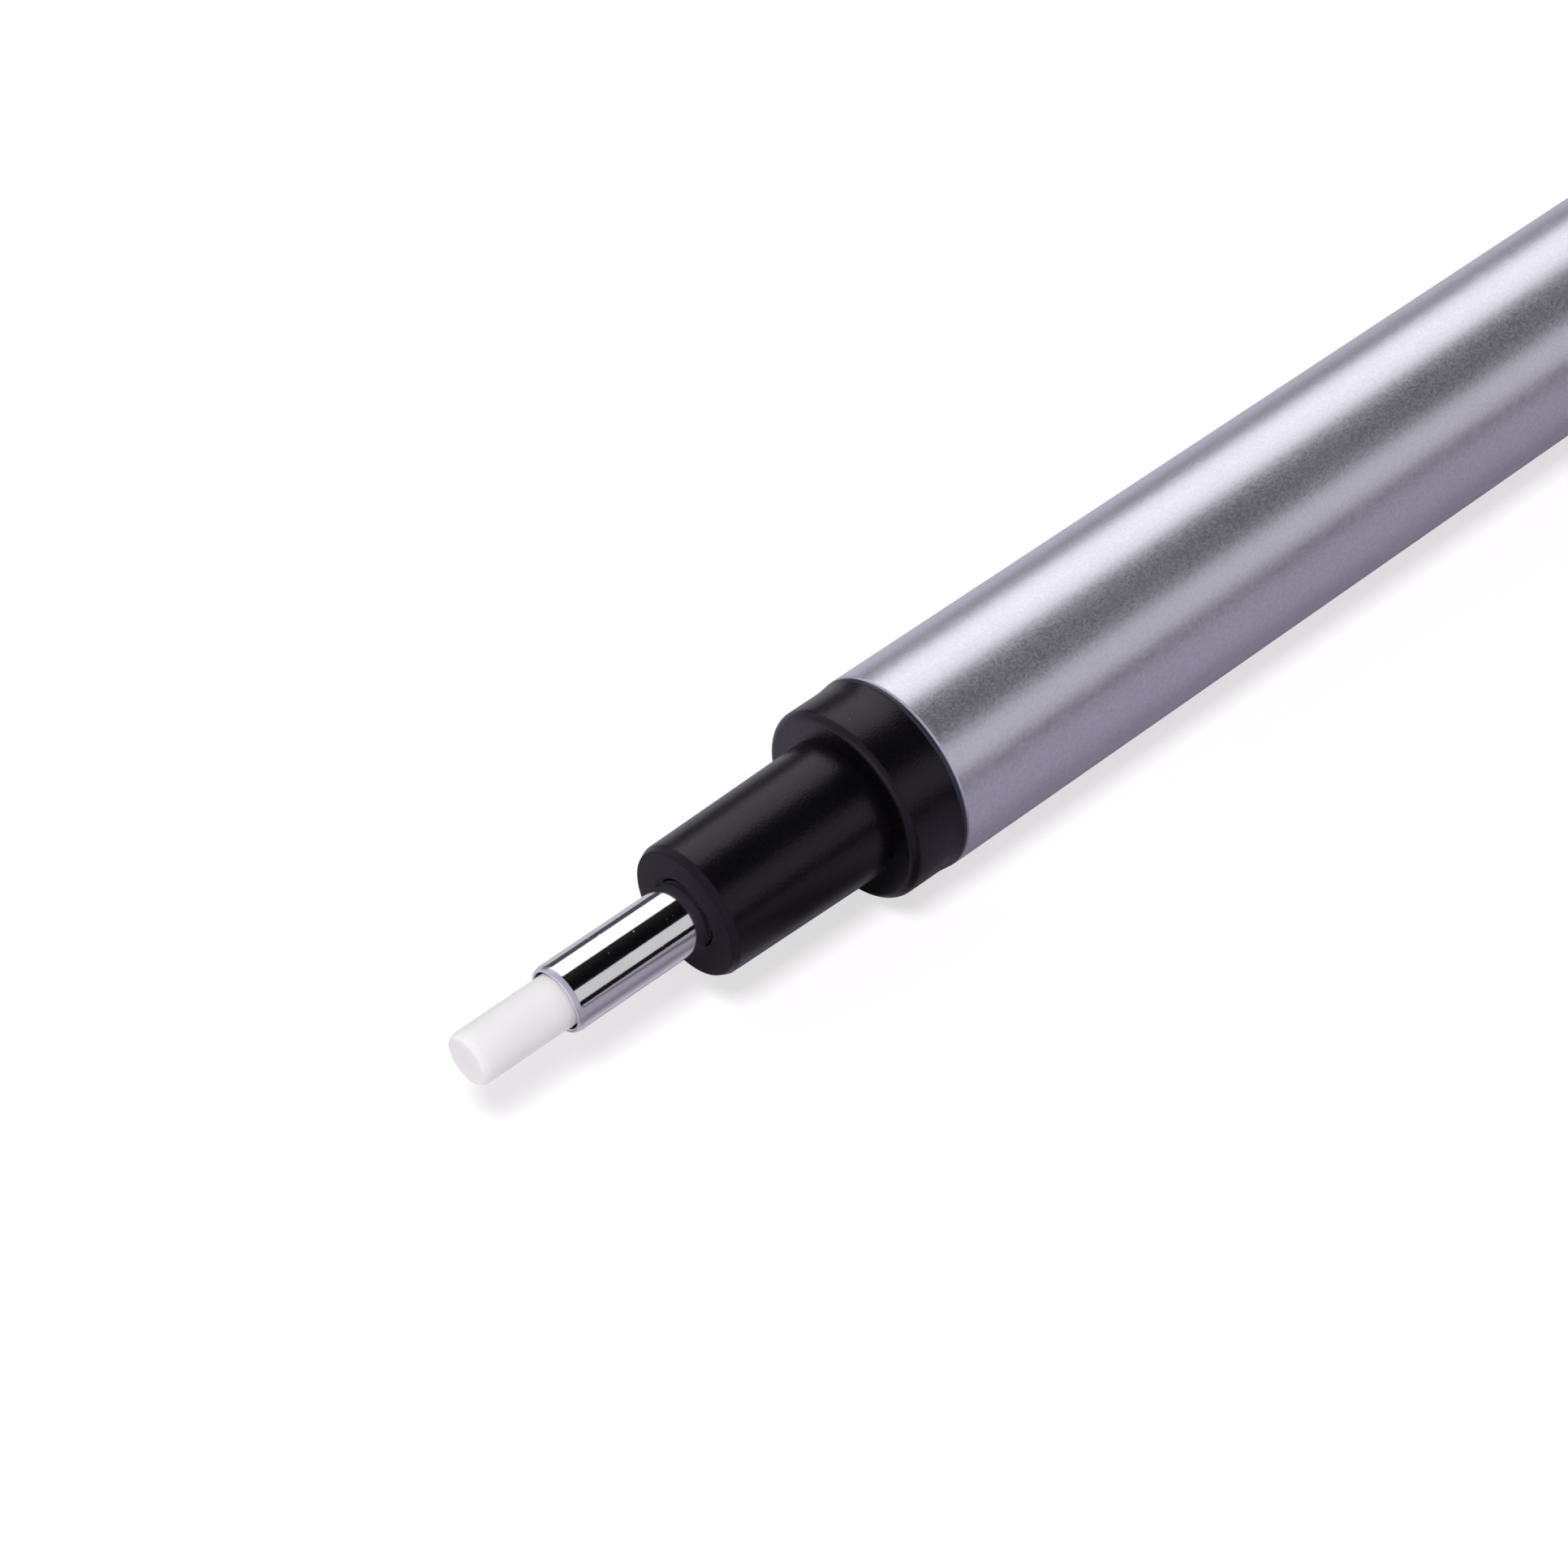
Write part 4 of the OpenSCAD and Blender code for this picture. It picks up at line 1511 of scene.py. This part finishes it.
    def table(self) -> None:
        """Lays the pale table."""
        table = plane("table", (0, 0, -self.table_drop * MM), self.table_size, self.table_size)
        graph = Graph("pale_table")
        seen = Wire(graph, self.mirror_rays(graph.tree))
        mottled = tuple(c * self.table_mottle for c in self.table_colour)
        tone = graph.mix(graph.noise(self.table_grain), self.table_colour, mottled)
        graph.set(
            Base_Color=graph.mix(seen, self.table_bounce, tone),
            Roughness=0.9,
            Specular_IOR_Level=0.0,
            Emission_Color=self.table_glow,
            Emission_Strength=self.table_wash + seen * (self.table_lift - self.table_wash),
        )
        table.data.materials.append(graph.material)

    def room(self) -> None:
        """Lights the room: plain for surfaces, white for the camera and in mirrors."""
        world = bpy.data.worlds.new("room")
        world.use_nodes = True
        bpy.context.scene.world = world
        tree = world.node_tree
        level = tree.nodes.new("ShaderNodeMapRange")
        level.inputs["To Min"].default_value = self.room_level
        level.inputs["To Max"].default_value = 1.0
        tree.links.new(self.mirror_rays(tree), level.inputs["Value"])
        background = tree.nodes["Background"]
        background.inputs["Color"].default_value = (*self.room_colour, 1)
        tree.links.new(level.outputs["Result"], background.inputs["Strength"])

    def build(self) -> None:
        """Sets up the table, the lights, the cards and the room."""
        self.table()
        Overhead().build()
        self.box(self.key, self.key_watts, True)
        self.box(self.fill, self.fill_watts, True)
        self.box(self.wash, self.wash_watts, False)
        for panel in self.cards:
            self.card(panel)
        self.sheet()
        self.room()


@dataclass(frozen=True)
class PhotoCamera:
    """The photograph's camera: angles in degrees, the eraser's tip as it sees it in mm, reach in metres."""

    azimuth: float = -42.6
    elevation: float = 46.6
    focal_px: float = 5290.0
    frame_px: float = 1932.0
    sensor: float = 36.0
    tip_right: float = -11.926
    tip_down: float = 10.421
    tip_ahead: float = 161.047
    nearest: float = 0.01
    farthest: float = 20.0

    def build(self) -> None:
        """Makes the camera and gives it to the scene."""
        turn_z, tilt = math.radians(self.azimuth), math.radians(90 - self.elevation)
        bpy.ops.object.camera_add(rotation=(tilt, 0, turn_z))
        camera = bpy.context.active_object
        turned = camera.rotation_euler.to_matrix()
        tip_seen = Vector((self.tip_right, -self.tip_down, -self.tip_ahead)) * MM
        camera.location = PEN.axis_point(0) - turned @ tip_seen
        camera.data.sensor_width = self.sensor
        camera.data.lens = self.focal_px / self.frame_px * self.sensor
        camera.data.clip_start = self.nearest
        camera.data.clip_end = self.farthest
        bpy.context.scene.camera = camera


def main() -> None:
    """Builds the looks in order."""
    logging.basicConfig(level=logging.INFO, format="%(message)s")
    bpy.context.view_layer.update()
    bpy.context.scene.view_settings.view_transform = "Standard"
    PhotoCamera().build()
    Studio().build()
    for part in (Front(), Body(), Rear(), Clip(), Spring(), Inside()):
        part.build()
        LOG.info("%s is built", type(part).__name__)


if __name__ == "__main__":
    main()
